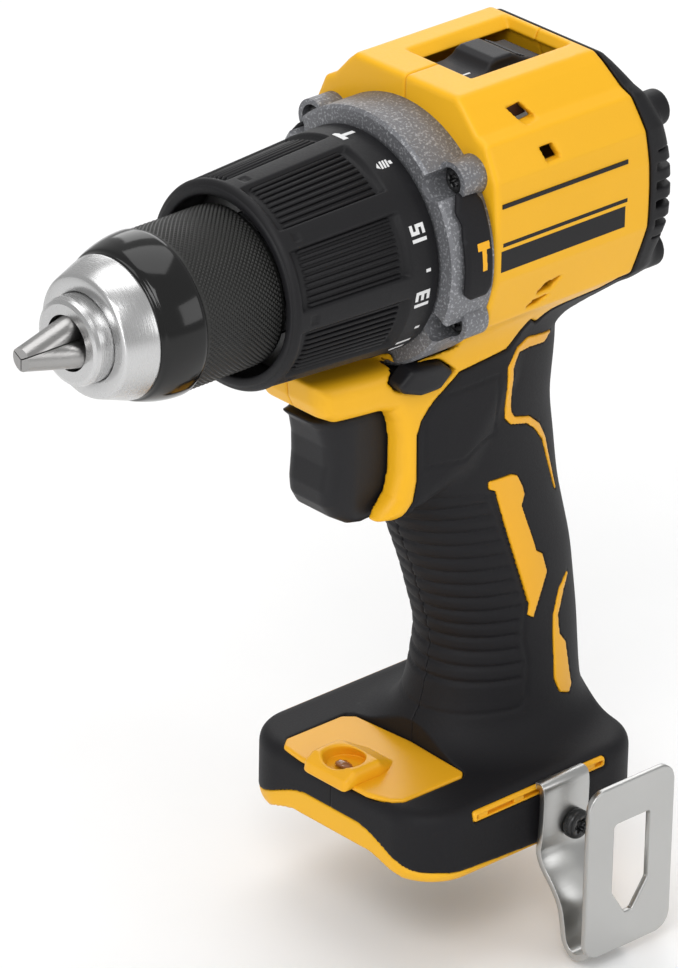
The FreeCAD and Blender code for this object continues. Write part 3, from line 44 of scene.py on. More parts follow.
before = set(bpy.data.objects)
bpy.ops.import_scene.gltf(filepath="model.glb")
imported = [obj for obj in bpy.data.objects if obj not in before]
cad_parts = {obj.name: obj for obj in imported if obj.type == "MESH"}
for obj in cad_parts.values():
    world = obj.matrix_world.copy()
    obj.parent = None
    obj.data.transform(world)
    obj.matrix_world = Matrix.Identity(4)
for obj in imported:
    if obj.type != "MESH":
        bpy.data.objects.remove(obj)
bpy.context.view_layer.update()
MM = 0.001
TAU = 2 * math.pi


# ------------------------------------------------------------------ sizes and colours
def length(name, description, millimetres):
    """A length property, kept in metres."""
    return bpy.props.FloatProperty(name=name, description=description,
                                   default=millimetres * MM, subtype="DISTANCE", unit="LENGTH")


def count(name, description, number):
    """A whole-number property."""
    return bpy.props.IntProperty(name=name, description=description, default=number, min=1)


def shade(name, description, colour):
    """A colour property."""
    return bpy.props.FloatVectorProperty(name=name, description=description, default=colour,
                                         subtype="COLOR", size=3, min=0, max=1)


class ChuckSizes(bpy.types.PropertyGroup):
    """Sizes of the chuck's turned and knurled pieces."""
    knurls_around: count("Knurls around", "Diamonds in one row of the sleeve", 96)
    knurl_rows: count("Knurl rows", "Rows of diamonds along the sleeve", 34)
    knurl_height: length("Knurl height", "How far a diamond stands out", 0.26)
    sleeve_radius: length("Sleeve radius", "Radius under the knurl", 20.0)


class CollarSizes(bpy.types.PropertyGroup):
    """Sizes of the torque collar."""
    bars: count("Bars", "Raised smooth bars round the collar", 8)
    ribs: count("Ribs", "Fine ribs between two bars", 9)
    rib_width: length("Rib width", "Width of one fine rib", 1.15)
    digit_height: length("Digit height", "Height of the printed numbers", 4.4)


class GripSizes(bpy.types.PropertyGroup):
    """Sizes of the rubber grip."""
    rib_pitch: length("Rib pitch", "Distance between two grip ribs", 4.12)
    rib_depth: length("Rib depth", "Depth of the groove between ribs", 0.62)


class Colours(bpy.types.PropertyGroup):
    """Colours of the moulded and printed pieces."""
    body: shade("Body", "Moulded body", (0.84, 0.435, 0.010))
    grip: shade("Grip", "Soft grip", (0.0085, 0.0082, 0.0098))
    collar: shade("Collar", "Torque collar", (0.0062, 0.006, 0.0072))
    casting: shade("Casting", "Cast gear case", (0.165, 0.168, 0.18))
    print_white: shade("White print", "Numbers on the collar", (0.72, 0.72, 0.72))


class StageSettings(bpy.types.PropertyGroup):
    """Floor, lights and camera."""
    floor_colour: shade("Floor", "Floor colour", (0.93, 0.93, 0.93))
    light_power: bpy.props.FloatProperty(name="Light power", default=1.0, min=0,
                                         description="Multiplies the power of every lamp")
    focal: bpy.props.FloatProperty(name="Focal length", default=260.9, subtype="DISTANCE_CAMERA",
                                   unit="CAMERA", description="Lens of the camera")


# ------------------------------------------------------------------ meshes
def piece(name, points, faces, finish, smooth=True):
    """An object at the origin from points in millimetres."""
    name = name.replace(" ", "_")
    mesh = bpy.data.meshes.new(name)
    points = np.asarray(points, float) * MM
    mesh.from_pydata(points.tolist(), [], [list(f) for f in faces])
    mesh.materials.append(finish)
    if smooth:
        mesh.polygons.foreach_set("use_smooth", [True] * len(mesh.polygons))
    mesh.update()
    thing = bpy.data.objects.new(name, mesh)
    bpy.context.scene.collection.objects.link(thing)
    return thing


PRISM = [(0, 1, 2, 3), (7, 6, 5, 4), (0, 4, 5, 1), (1, 5, 6, 2), (2, 6, 7, 3), (3, 7, 4, 0)]


def prism(name, points, finish, flipped=False):
    """A four-sided prism from its four lower and four upper corners."""
    faces = [face[::-1] for face in PRISM] if flipped else PRISM
    return piece(name, points, faces, finish, False)


def quads_piece(name, points, quads, finish):
    """The same for large arrays of four-sided faces."""
    name = name.replace(" ", "_")
    mesh = bpy.data.meshes.new(name)
    mesh.vertices.add(len(points))
    mesh.vertices.foreach_set("co", (np.asarray(points, np.float32) * MM).ravel())
    mesh.loops.add(len(quads) * 4)
    mesh.loops.foreach_set("vertex_index", np.asarray(quads, np.int32).ravel())
    mesh.polygons.add(len(quads))
    mesh.polygons.foreach_set("loop_start", np.arange(0, len(quads) * 4, 4, dtype=np.int32))
    mesh.polygons.foreach_set("use_smooth", np.ones(len(quads), bool))
    mesh.materials.append(finish)
    mesh.update(calc_edges=True)
    mesh.validate()
    thing = bpy.data.objects.new(name, mesh)
    bpy.context.scene.collection.objects.link(thing)
    return thing


def joined(name, things):
    """One piece out of several."""
    with bpy.context.temp_override(active_object=things[0], object=things[0],
                                   selected_objects=things, selected_editable_objects=things):
        bpy.ops.object.join()
    things[0].name = name.replace(" ", "_")
    return things[0]


def turned(name, profile, finish, steps=192, relief=None):
    """A closed profile of (x, radius) pairs turned about the spindle axis."""
    profile = np.array(profile, float)
    angle = np.arange(steps) * TAU / steps
    x = np.repeat(profile[:, :1], steps, 1)
    r = np.repeat(profile[:, 1:], steps, 1)
    if relief is not None:
        r = r + relief(x, r, angle[None, :])
    points = np.stack([x, -r * np.cos(angle), r * np.sin(angle)], 2).reshape(-1, 3)
    rows = len(profile)
    i, j = np.meshgrid(np.arange(rows), np.arange(steps), indexing="ij")
    i2, j2 = (i + 1) % rows, (j + 1) % steps
    quads = np.stack([i * steps + j, i * steps + j2, i2 * steps + j2, i2 * steps + j], 2)
    quads = quads.reshape(-1, 4)
    area = 0.5 * np.sum(profile[:, 0] * np.roll(profile[:, 1], -1)
                        - np.roll(profile[:, 0], -1) * profile[:, 1])
    if area < 0:
        quads = quads[:, ::-1]
    return quads_piece(name, points, quads, finish)


def arc(centre, radius, start, end, steps=6):
    """Points of an arc in a profile, angles in degrees."""
    return [(centre[0] + radius * math.cos(math.radians(a)),
             centre[1] + radius * math.sin(math.radians(a)))
            for a in np.linspace(start, end, steps)]


# ------------------------------------------------------------------ shapes as distances
def blend_min(a, b, k):
    """Union of two distances with a fillet of about k."""
    h = np.clip(0.5 + 0.5 * (b - a) / k, 0, 1)
    return b * (1 - h) + a * h - k * h * (1 - h)


def blend_max(a, b, k):
    """Intersection of two distances with a rounded edge of about k."""
    return -blend_min(-a, -b, k)


def step(low, high, value):
    """Smooth rise from 0 at low to 1 at high."""
    t = np.clip((value - low) / (high - low), 0, 1)
    return t * t * (3 - 2 * t)


def outline(u, v, corners):
    """Distance to a polygon in a plane, negative inside."""
    corners = np.array(corners, float)
    best = np.full(np.broadcast(u, v).shape, 1e9)
    sign = np.ones_like(best)
    for (ax, ay), (bx, by) in zip(corners, np.roll(corners, 1, axis=0)):
        ex, ey, wx, wy = bx - ax, by - ay, u - ax, v - ay
        t = np.clip((wx * ex + wy * ey) / (ex * ex + ey * ey), 0, 1)
        best = np.minimum(best, (wx - ex * t) ** 2 + (wy - ey * t) ** 2)
        above, below, left = v >= ay, v < by, ex * wy > ey * wx
        sign = np.where((above & below & left) | (~above & ~below & ~left), -sign, sign)
    return sign * np.sqrt(best)


def inset(corners, distance):
    """The polygon with its edges moved inwards."""
    p = np.array(corners, float)
    turn = np.sign(np.sum(p[:, 0] * np.roll(p[:, 1], -1) - np.roll(p[:, 0], -1) * p[:, 1]))
    ahead = np.roll(p, -1, axis=0) - p
    ahead /= np.linalg.norm(ahead, axis=1, keepdims=True)
    normal = turn * np.stack([-ahead[:, 1], ahead[:, 0]], 1)
    back = np.roll(normal, 1, axis=0)
    return p + distance * (normal + back) / (1 + np.sum(normal * back, 1, keepdims=True))


def rounded(u, v, corners, radius):
    """Distance to a polygon with rounded corners."""
    return outline(u, v, inset(corners, radius)) - radius


def block(x, y, z, low, high, radius=0.0):
    """Distance to a box with rounded edges."""
    spans = [np.abs(a - (l + h) / 2) - (h - l) / 2 + radius
             for a, l, h in zip((x, y, z), low, high)]
    outside = np.sqrt(sum(np.maximum(s, 0) ** 2 for s in spans))
    return outside + np.minimum(np.maximum(np.maximum(spans[0], spans[1]), spans[2]), 0) - radius


CORNERS = [(i, j, k) for i in (0, 1) for j in (0, 1) for k in (0, 1)]
EDGES = [(a, b) for a in range(8) for b in range(a + 1, 8)
         if sum(abs(p - q) for p, q in zip(CORNERS[a], CORNERS[b])) == 1]


def skin(name, field, low, high, pitch, finish, mirrored=False):
    """The surface where a distance field is zero, as a mesh with soft edges."""
    axes = [np.arange(l, h + pitch, pitch) for l, h in zip(low, high)]
    grid = np.broadcast_to(field(axes[0][:, None, None], axes[1][None, :, None],
                                 axes[2][None, None, :]), [len(a) for a in axes])
    inside = grid < 0
    shape = [n - 1 for n in grid.shape]
    total = sum(inside[i:i + shape[0], j:j + shape[1], k:k + shape[2]].astype(np.int8)
                for i, j, k in CORNERS)
    cells = np.argwhere((total > 0) & (total < 8))
    value = np.stack([grid[cells[:, 0] + i, cells[:, 1] + j, cells[:, 2] + k]
                      for i, j, k in CORNERS], 1)
    place = np.zeros((len(cells), 3))
    hits = np.zeros((len(cells), 1))
    for a, b in EDGES:
        crossed = (value[:, a] < 0) != (value[:, b] < 0)
        t = np.where(crossed, value[:, a] / np.where(crossed, value[:, a] - value[:, b], 1), 0)
        start, end = np.array(CORNERS[a]), np.array(CORNERS[b])
        place += crossed[:, None] * (start + t[:, None] * (end - start))
        hits += crossed[:, None]
    points = np.array(low) + (cells + place / hits) * pitch
    ids = np.full(shape, -1, np.int64)
    ids[cells[:, 0], cells[:, 1], cells[:, 2]] = np.arange(len(cells))
    quads = []
    for axis in range(3):
        u, v = (axis + 1) % 3, (axis + 2) % 3
        first = [slice(1, n) for n in shape]
        first[axis] = slice(0, shape[axis])
        second = list(first)
        second[axis] = slice(1, shape[axis] + 1)
        here, there = inside[tuple(first)], inside[tuple(second)]
        at = np.argwhere(here != there)
        for d in (u, v):
            at[:, d] += 1
        flip = ~inside[tuple(at.T)]
        around = []
        for du, dv in ((0, 0), (1, 0), (1, 1), (0, 1)):
            cell = at.copy()
            cell[:, u] -= du
            cell[:, v] -= dv
            around.append(ids[tuple(cell.T)])
        ring = np.stack(around, 1)
        ring[flip] = ring[flip][:, ::-1]
        quads.append(ring)
    quads = np.concatenate(quads)
    small = pitch * 0.05
    for _ in range(3):
        x, y, z = points.T
        here = field(x, y, z)
        slope = np.stack([field(x + small, y, z) - field(x - small, y, z),
                          field(x, y + small, z) - field(x, y - small, z),
                          field(x, y, z + small) - field(x, y, z - small)], 1) / (2 * small)
        steepness = np.maximum(np.sum(slope ** 2, 1), 0.3)
        move = -(here / steepness)[:, None] * slope
        far = np.linalg.norm(move, axis=1, keepdims=True)
        points = points + move * np.minimum(1, 0.35 * pitch / np.maximum(far, 1e-9))
    if mirrored:
        points[:, 1] *= -1
        quads = quads[:, ::-1]
    return quads_piece(name, points, quads, finish)


# ------------------------------------------------------------------ finishes
def finish(name, colour, rough, metal=0.0, grain=700.0, bump=0.12, depth=0.00012, vary=0.10,
           rough_vary=0.08, stretch=(1, 1, 1), coat=0.0, fleck=None, wear=None,
           sheen=0.5):
    """A moulded, cast or machined finish from layered noise on object coordinates."""
    material = bpy.data.materials.new(name)
    material.use_nodes = True
    tree = material.node_tree
    shader = tree.nodes["Principled BSDF"]
    for label, value in {"Metallic": metal, "Specular IOR Level": sheen, "Coat Weight": coat,
                         "Coat Roughness": 0.08}.items():
        shader.inputs[label].default_value = value
    link = tree.links.new

    def add(kind, **values):
        node = tree.nodes.new("ShaderNode" + kind)
        if kind == "Mix":
            node.data_type = "RGBA"
        for label, value in values.items():
            node.inputs[label.replace("_", " ")].default_value = value
        return node

    def mixed_in(base, factor, over):
        node = add("Mix", B=[*over, 1])
        link(factor, node.inputs["Factor"])
        link(base, node.inputs["A"])
        return node.outputs["Result"]

    where = add("TexCoord")
    mapping = add("Mapping", Scale=stretch)
    link(where.outputs["Object"], mapping.inputs["Vector"])
    fine = add("TexNoise", Scale=grain, Detail=4)
    broad = add("TexNoise", Scale=28, Detail=5)
    link(mapping.outputs["Vector"], fine.inputs["Vector"])
    link(where.outputs["Object"], broad.inputs["Vector"])
    tone = add("Mix", A=[c * (1 - vary) for c in colour] + [1],
               B=[min(c * (1 + vary), 1) for c in colour] + [1])
    link(broad.outputs["Fac"], tone.inputs["Factor"])
    last = tone.outputs["Result"]
    if fleck:
        spots = add("MapRange", From_Min=0.52, From_Max=0.66)
        link(fine.outputs["Fac"], spots.inputs["Value"])
        last = mixed_in(last, spots.outputs["Result"], fleck)
    if wear:
        edge = add("NewGeometry")
        rub = add("MapRange", From_Min=0.53, From_Max=0.62, To_Max=0.6)
        link(edge.outputs["Pointiness"], rub.inputs["Value"])
        last = mixed_in(last, rub.outputs["Result"], wear)
    link(last, shader.inputs["Base Color"])
    dull = add("MapRange", To_Min=max(rough - rough_vary, 0.02),
               To_Max=min(rough + rough_vary, 1))
    link(fine.outputs["Fac"], dull.inputs["Value"])
    link(dull.outputs["Result"], shader.inputs["Roughness"])
    bumps = add("Bump", Strength=bump, Distance=depth)
    link(fine.outputs["Fac"], bumps.inputs["Height"])
    link(bumps.outputs["Normal"], shader.inputs["Normal"])
    return material


def make_finishes():
    """Every finish of the drill, by a maker's name."""
    colour = bpy.context.scene.drill_colours
    body, grip = tuple(colour.body), tuple(colour.grip)
    return {
        "body plastic": finish("body plastic", body, 0.42, grain=1500, bump=0.2, vary=0.05,
                               sheen=0.32),
        "panel plastic": finish("panel plastic", (0.84, 0.41, 0.012), 0.36, grain=900, bump=0.1,
                                sheen=0.32),
        "soft grip": finish("soft grip", grip, 0.62, grain=1900, bump=0.35, vary=0.12,
                            wear=(0.02, 0.02, 0.023), sheen=0.22),
        "collar nylon": finish("collar nylon", tuple(colour.collar), 0.55, grain=1600, bump=0.3,
                               wear=(0.017, 0.017, 0.02), sheen=0.28),
        "trigger nylon": finish("trigger nylon", (0.0095, 0.0092, 0.0108), 0.5, grain=2100,
                                bump=0.25, sheen=0.28),
        "gloss band": finish("gloss band", (0.006, 0.006, 0.006), 0.12, grain=300, bump=0.02,
                             rough_vary=0.03, coat=0.12, sheen=0.3),
        "knurled steel": finish("knurled steel", (0.02, 0.02, 0.019), 0.46, metal=0.35,
                                grain=1200, bump=0.15),
        "turned steel": finish("turned steel", (0.56, 0.56, 0.56), 0.27, metal=1.0, grain=260,
                               bump=0.25, stretch=(14, 1, 1), rough_vary=0.07),
        "ground steel": finish("ground steel", (0.36, 0.355, 0.35), 0.3, metal=1.0, grain=420,
                               bump=0.25, stretch=(1, 7, 7)),
        "cast alloy": finish("cast alloy", tuple(colour.casting), 0.5, metal=0.45, grain=1500,
                             bump=0.5, depth=0.0002, fleck=(0.36, 0.365, 0.38)),
        "hook steel": finish("hook steel", (0.5, 0.5, 0.49), 0.32, metal=1.0, grain=300,
                             bump=0.12, stretch=(1, 1, 9), rough_vary=0.06),
        "black screw": finish("black screw", (0.014, 0.014, 0.015), 0.3, metal=0.6, grain=900,
                              wear=(0.12, 0.12, 0.12)),
        "white print": finish("white print", tuple(colour.print_white), 0.5, grain=1800,
                              vary=0.06),
        "dark print": finish("dark print", (0.009, 0.0085, 0.0095), 0.45, grain=1600, vary=0.1,
                             sheen=0.25),
        # deep shadow: a dark red-brown painted shade for the slabs inside the vent pockets
        "deep shadow": finish("deep shadow", (0.045, 0.012, 0.003), 0.7, grain=900),
        "lamp lens": finish("lamp lens", (0.28, 0.12, 0.05), 0.16, grain=400, coat=0.8),
        "copper wire": finish("copper wire", (0.62, 0.23, 0.09), 0.3, metal=1.0, grain=1500,
                              bump=0.5, stretch=(1, 1, 4)),
        "gear steel": finish("gear steel", (0.33, 0.33, 0.33), 0.35, metal=1.0, grain=900),
        "inner nylon": finish("inner nylon", (0.03, 0.03, 0.03), 0.5, grain=1200),
        "board green": finish("board green", (0.02, 0.12, 0.05), 0.4, grain=700),
        "brass": finish("brass", (0.6, 0.4, 0.12), 0.3, metal=1.0, grain=900),
    }


FINISH = {}


# ------------------------------------------------------------------ repeats by node trees
def new_tree(name, inputs):
    """An empty geometry tree with named inputs; returns it with its end nodes."""
    tree = bpy.data.node_groups.new(name, "GeometryNodeTree")
    tree.is_modifier = True
    tree.interface.new_socket("Geometry", in_out="OUTPUT", socket_type="NodeSocketGeometry")
    tree.interface.new_socket("Geometry", in_out="INPUT", socket_type="NodeSocketGeometry")
    for label, kind in inputs:
        tree.interface.new_socket(label, in_out="INPUT", socket_type="NodeSocket" + kind)
    return tree, tree.nodes.new("NodeGroupInput"), tree.nodes.new("NodeGroupOutput")


def sums(tree, operation, first, second):
    """A maths node; either side is a socket or a number."""
    node = tree.nodes.new("ShaderNodeMath")
    node.operation = operation
    for socket, value in zip(node.inputs, (first, second)):
        if isinstance(value, (int, float)):
            socket.default_value = value
        else:
            tree.links.new(value, socket)
    return node.outputs[0]


def finish_tree(tree, ends, points, turns, instance):
    """Instances on points, turned, realized and given their finish."""
    start, end = ends
    link = tree.links.new
    copies = tree.nodes.new("GeometryNodeInstanceOnPoints")
    link(points, copies.inputs["Points"])
    link(instance, copies.inputs["Instance"])
    if turns is not None:
        link(turns, copies.inputs["Rotation"])
    real = tree.nodes.new("GeometryNodeRealizeInstances")
    link(copies.outputs["Instances"], real.inputs["Geometry"])
    paint = tree.nodes.new("GeometryNodeSetMaterial")
    link(real.outputs["Geometry"], paint.inputs["Geometry"])
    link(start.outputs["Finish"], paint.inputs["Material"])
    link(paint.outputs["Geometry"], end.inputs["Geometry"])
    return tree


def ring_tree():
    """Copies of a piece's own mesh round the spindle axis, in rows that may be staggered."""
    tree, start, end = new_tree("copies round the spindle", [
        ("Around", "Int"), ("Rows", "Int"), ("Row pitch", "Float"), ("Stagger", "Float"),
        ("Start angle", "Float"), ("Step angle", "Float"), ("Finish", "Material")])
    link = tree.links.new
    total = sums(tree, "MULTIPLY", start.outputs["Around"], start.outputs["Rows"])
    index = tree.nodes.new("GeometryNodeInputIndex").outputs[0]
    row = sums(tree, "FLOOR", sums(tree, "DIVIDE", sums(tree, "ADD", index, 0.5),
                                   start.outputs["Around"]), 0.0)
    along = sums(tree, "MULTIPLY", row, start.outputs["Row pitch"])
    turn = sums(tree, "ADD", index, sums(tree, "MULTIPLY", row, start.outputs["Stagger"]))
    angle = sums(tree, "ADD", sums(tree, "MULTIPLY", turn, start.outputs["Step angle"]),
                 start.outputs["Start angle"])
    place = tree.nodes.new("ShaderNodeCombineXYZ")
    link(along, place.inputs["X"])
    spin = tree.nodes.new("ShaderNodeCombineXYZ")
    link(angle, spin.inputs["X"])
    points = tree.nodes.new("GeometryNodePoints")
    link(total, points.inputs["Count"])
    link(place.outputs[0], points.inputs["Position"])
    return finish_tree(tree, (start, end), points.outputs[0], spin.outputs[0],
                       start.outputs["Geometry"])


def row_tree():
    """Copies of a piece's own mesh in a straight row."""
    tree, start, end = new_tree("copies in a row", [
        ("Count", "Int"), ("Step", "Vector"), ("Finish", "Material")])
    index = tree.nodes.new("GeometryNodeInputIndex").outputs[0]
    scale = tree.nodes.new("ShaderNodeVectorMath")
    scale.operation = "SCALE"
    tree.links.new(start.outputs["Step"], scale.inputs[0])
    tree.links.new(index, scale.inputs["Scale"])
    points = tree.nodes.new("GeometryNodePoints")
    tree.links.new(start.outputs["Count"], points.inputs["Count"])
    tree.links.new(scale.outputs[0], points.inputs["Position"])
    return finish_tree(tree, (start, end), points.outputs[0], None, start.outputs["Geometry"])


def seat_tree():
    """Copies of one prototype at each vertex of a piece."""
    tree, start, end = new_tree("copies on seats", [
        ("Prototype", "Object"), ("Turn", "Vector"), ("Finish", "Material")])
    info = tree.nodes.new("GeometryNodeObjectInfo")
    tree.links.new(start.outputs["Prototype"], info.inputs["Object"])
    return finish_tree(tree, (start, end), start.outputs["Geometry"], start.outputs["Turn"],
                       info.outputs["Geometry"])


def run_tree(thing, tree, **values):
    """Runs a tree on a piece and keeps the result as its plain mesh."""
    modifier = thing.modifiers.new("repeat", "NODES")
    modifier.node_group = tree
    for socket in tree.interface.items_tree:
        key = socket.name.lower().replace(" ", "_")
        if socket.in_out == "INPUT" and key in values:
            modifier[socket.identifier] = values[key]
    bpy.context.view_layer.update()
    graph = bpy.context.evaluated_depsgraph_get()
    mesh = bpy.data.meshes.new_from_object(thing.evaluated_get(graph), depsgraph=graph)
    thing.modifiers.remove(modifier)
    thing.data = mesh
    if len(mesh.vertices) == 0:
        raise RuntimeError(f"{thing.name}: the tree made nothing")
    return thing


def screws_on(name, seats, turn, finish_name, radius=3.3, height=2.6):
    """Pan-head screws with a six-lobed recess, heads facing +Z before they are turned."""
    around = 48
    angle = np.arange(around) * TAU / around
    lobe = 1 + 0.16 * np.cos(6 * angle)
    rings = [(radius * 0.94, 0.0, 0), (radius, 0.3, 0), (radius, height * 0.62, 0),
             (radius * 0.93, height * 0.86, 0), (radius * 0.78, height, 0),
             (radius * 0.5, height, 1), (radius * 0.47, height - 0.25, 1),
             (radius * 0.44, height - 1.5, 1)]
    points = [(0, 0, 0)]
    for r, z, lobed in rings:
        shape = lobe if lobed else np.ones(around)
        points += [(r * s * math.cos(a), r * s * math.sin(a), z) for s, a in zip(shape, angle)]
    points.append((0, 0, height - 1.5))
    faces = []
    for i in range(around):
        j = (i + 1) % around
        faces.append((0, 1 + j, 1 + i))
        for k in range(len(rings) - 1):
            a, b = 1 + k * around, 1 + (k + 1) * around
            faces.append((a + i, a + j, b + j, b + i))
        top = 1 + (len(rings) - 1) * around
        faces.append((top + i, top + j, len(points) - 1))
    prototype = piece(name + " prototype", points, faces, FINISH[finish_name])
    seat = piece(name, seats, [], FINISH[finish_name])
    run_tree(seat, seat_tree(), prototype=prototype, turn=turn, finish=FINISH[finish_name])
    bpy.data.objects.remove(prototype)
    return seat


# ------------------------------------------------------------------ chuck and collar
def build_chuck():
    """The bright nose cone and the gloss band behind it."""
    cone = [(5.35, 11.0), (5.15, 11.4)] + [(5.15, 14.4), (5.35, 15.0), (5.9, 15.35)]
    cone += [(13.1, 17.75), (13.6, 17.8), (13.75, 17.5), (13.75, 16.2), (9.0, 14.6), (9.0, 11.0)]
    nose = turned("nose cone", cone, FINISH["turned steel"])
    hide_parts("sleeve_front_ring")
    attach(nose, "sleeve")
    band = [(13.85, 16.4), (13.85, 17.6), (14.3, 17.9), (14.9, 17.95), (15.1, 18.35)]
    band += [(x, 18.45 + 2.2 * math.sin((x - 15.2) / 10.4 * math.pi / 2) ** 0.8)
             for x in np.linspace(15.5, 25.4, 14)]
    band += [(25.8, 20.4), (25.85, 20.0), (25.85, 16.4)]
    gloss = turned("gloss band", band, FINISH["gloss band"])
    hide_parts("sleeve_band")
    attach(gloss, "sleeve")


def build_knurl():
    """The black sleeve with its rows of small diamonds."""
    sizes = bpy.context.scene.drill_chuck
    base = sizes.sleeve_radius / MM
    tube = turned("sleeve", [(25.95, 18.4), (25.95, base - 0.2), (26.3, base + 0.1),
                             (26.9, base), (50.1, base), (50.4, base - 0.3), (50.4, 18.4)],
                  FINISH["knurled steel"])
    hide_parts("chuck_sleeve")
    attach(tube, "sleeve")
    step_angle = TAU / sizes.knurls_around
    half = base * step_angle / 2
    pitch = 22.6 / sizes.knurl_rows
    x = 27.2
    corners = [(x - pitch, 0), (x, half), (x + pitch, 0), (x, -half)]
    points = [(a, b, base - 0.06) for a, b in corners]
    points.append((x, 0, base + sizes.knurl_height / MM))
    knurl = piece("sleeve knurl", points, [(0, 1, 4), (1, 2, 4), (2, 3, 4), (3, 0, 4)],
                  FINISH["knurled steel"], smooth=False)
    for face in knurl.data.polygons:
        if face.normal.z < 0:
            face.flip()
    run_tree(knurl, ring_tree(), around=sizes.knurls_around, rows=sizes.knurl_rows,
             row_pitch=pitch * MM, stagger=0.5, start_angle=0.0, step_angle=step_angle,
             finish=FINISH["knurled steel"])
    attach(knurl, "sleeve")


BAR_TURN = math.radians(-2)
COLLAR_SLOPE = (28.2 - 26.3) / (83.0 - 50.0)


def collar_radius(x):
    """Outer radius of the collar's bars at a place along it."""
    return 26.3 + COLLAR_SLOPE * np.clip(x - 50, 0, 33)


def build_collar():
    """The torque collar: smooth bars, sunk panels of fine ribs, printed numbers."""
    sizes = bpy.context.scene.drill_collar
    around = sizes.bars

    def relief(x, r, angle):
        offset = np.abs((angle - BAR_TURN + math.pi / around) % (TAU / around) - math.pi / around)
        bar = 1 - step(math.radians(5.4), math.radians(7.0), offset)
        panel = step(50.0, 51.6, x) * (1 - step(82.3, 83.6, x))
        notch = step(53.0, 53.3, x) * (1 - step(55.0, 55.3, x))
        narrow = 1 - step(math.radians(2.2), math.radians(2.8), offset)
        sunk = -1.5 * panel * (1 - bar) - 0.35 * notch * narrow
        return np.where(r > 25.0, sunk, 0)

    outer = [(48.1, 24.2), (48.3, 24.9)] + arc((50.0, 24.6), 1.7, 170, 92, 7)
    outer += [(x, collar_radius(x)) for x in np.linspace(50.3, 83.6, 68)]
    outer += [(84, 28.25), (88, 28.3), (91.8, 28.3), (92.3, 27.9), (92.35, 27.0)]
    inner = [(92.35, 26.2), (60.0, 24.0), (51.0, 23.8), (50.6, 22.6), (48.6, 22.5), (48.15, 22.9)]
    shell = turned("torque collar", outer + inner, FINISH["collar nylon"], 512, relief)
    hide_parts("clutch_collar")
    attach(shell, "collar")

    span = TAU / around - math.radians(15.5)
    pitch = span / (sizes.ribs - 1)
    half = sizes.rib_width / MM / 2
    points, faces = [], []
    stations = [52.6, 53.6, 66.0, 80.6, 81.6]
    rises = [-0.1, 0.95, 0.95, 0.95, -0.1]
    for x, rise in zip(stations, rises):
        floor = float(collar_radius(x)) - 1.65
        for across, up in ((-half, 0.0), (-half * 0.62, rise * 0.8), (0, rise),
                           (half * 0.62, rise * 0.8), (half, 0.0)):
            points.append((x, across, floor + max(up, -0.1)))
    for i in range(len(stations) - 1):
        faces += [(i * 5 + j, i * 5 + j + 1, i * 5 + j + 6, i * 5 + j + 5) for j in range(4)]
        faces.append((i * 5 + 4, i * 5, i * 5 + 5, i * 5 + 9))
    last = (len(stations) - 1) * 5
    faces += [(4, 3, 2, 1, 0), (last, last + 1, last + 2, last + 3, last + 4)]
    ribs = []
    tree = ring_tree()
    for number in range(sizes.ribs):
        lean = BAR_TURN + math.pi / around + (number - (sizes.ribs - 1) / 2) * pitch
        rib = piece(f"collar rib {number}", points, faces, FINISH["collar nylon"])
        run_tree(rib, tree, around=around, rows=1, row_pitch=0.0, stagger=0.0,
                 start_angle=math.pi / 2 - lean, step_angle=TAU / around,
                 finish=FINISH["collar nylon"])
        ribs.append(rib)
    ribs = joined("collar ribs", ribs)
    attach(ribs, "collar")
    build_collar_print(sizes.digit_height / MM)


PRINT_RADIUS, PRINT_RISE, PRINT_ROOT = 28.3, 0.07, -0.25
NUMBER_STEP = 34


def wrapped(name, outline_sets, x_start, angle):
    """Flat shapes laid round the collar; u runs along the drill, v round it."""
    things = []
    for shape in outline_sets:
        n = len(shape)
        points = []
        for lift in (PRINT_ROOT, PRINT_RISE):
            for u, v in shape:
                a = angle + v / PRINT_RADIUS
                r = PRINT_RADIUS + lift
                points.append((x_start + u, -r * math.cos(a), r * math.sin(a)))
        faces = [tuple(range(n)), tuple(range(2 * n - 1, n - 1, -1))]
        faces += [(i, i + n, (i + 1) % n + n, (i + 1) % n) for i in range(n)]
        area = sum(shape[i][0] * shape[(i + 1) % n][1] - shape[(i + 1) % n][0] * shape[i][1]
                   for i in range(n))
        if area > 0:
            faces = [f[::-1] for f in faces]
        things.append(piece(name, points, faces, FINISH["white print"], smooth=False))
    return things


SEGMENTS = {
    "0": "abcdef", "1": "bc", "2": "abged", "3": "abgcd", "4": "fgbc", "5": "afgcd",
    "6": "afgedc", "7": "abc", "8": "abcdefg", "9": "abcdfg",
}


def digit(symbol, tall, wide, stroke):
    """A plain squared digit out of bars; u runs down the digit, v along the line."""
    bars = {"a": (0, 0, stroke, wide), "d": (tall - stroke, 0, tall, wide),
            "g": ((tall - stroke) / 2, 0, (tall + stroke) / 2, wide),
            "f": (0, 0, tall / 2, stroke), "e": (tall / 2, 0, tall, stroke),
            "b": (0, wide - stroke, tall / 2, wide), "c": (tall / 2, wide - stroke, tall, wide)}
    shapes = []
    for part in SEGMENTS[symbol]:
        u0, v0, u1, v1 = bars[part]
        shapes.append([(u0, v0), (u1, v0), (u1, v1), (u0, v1)])
    return shapes


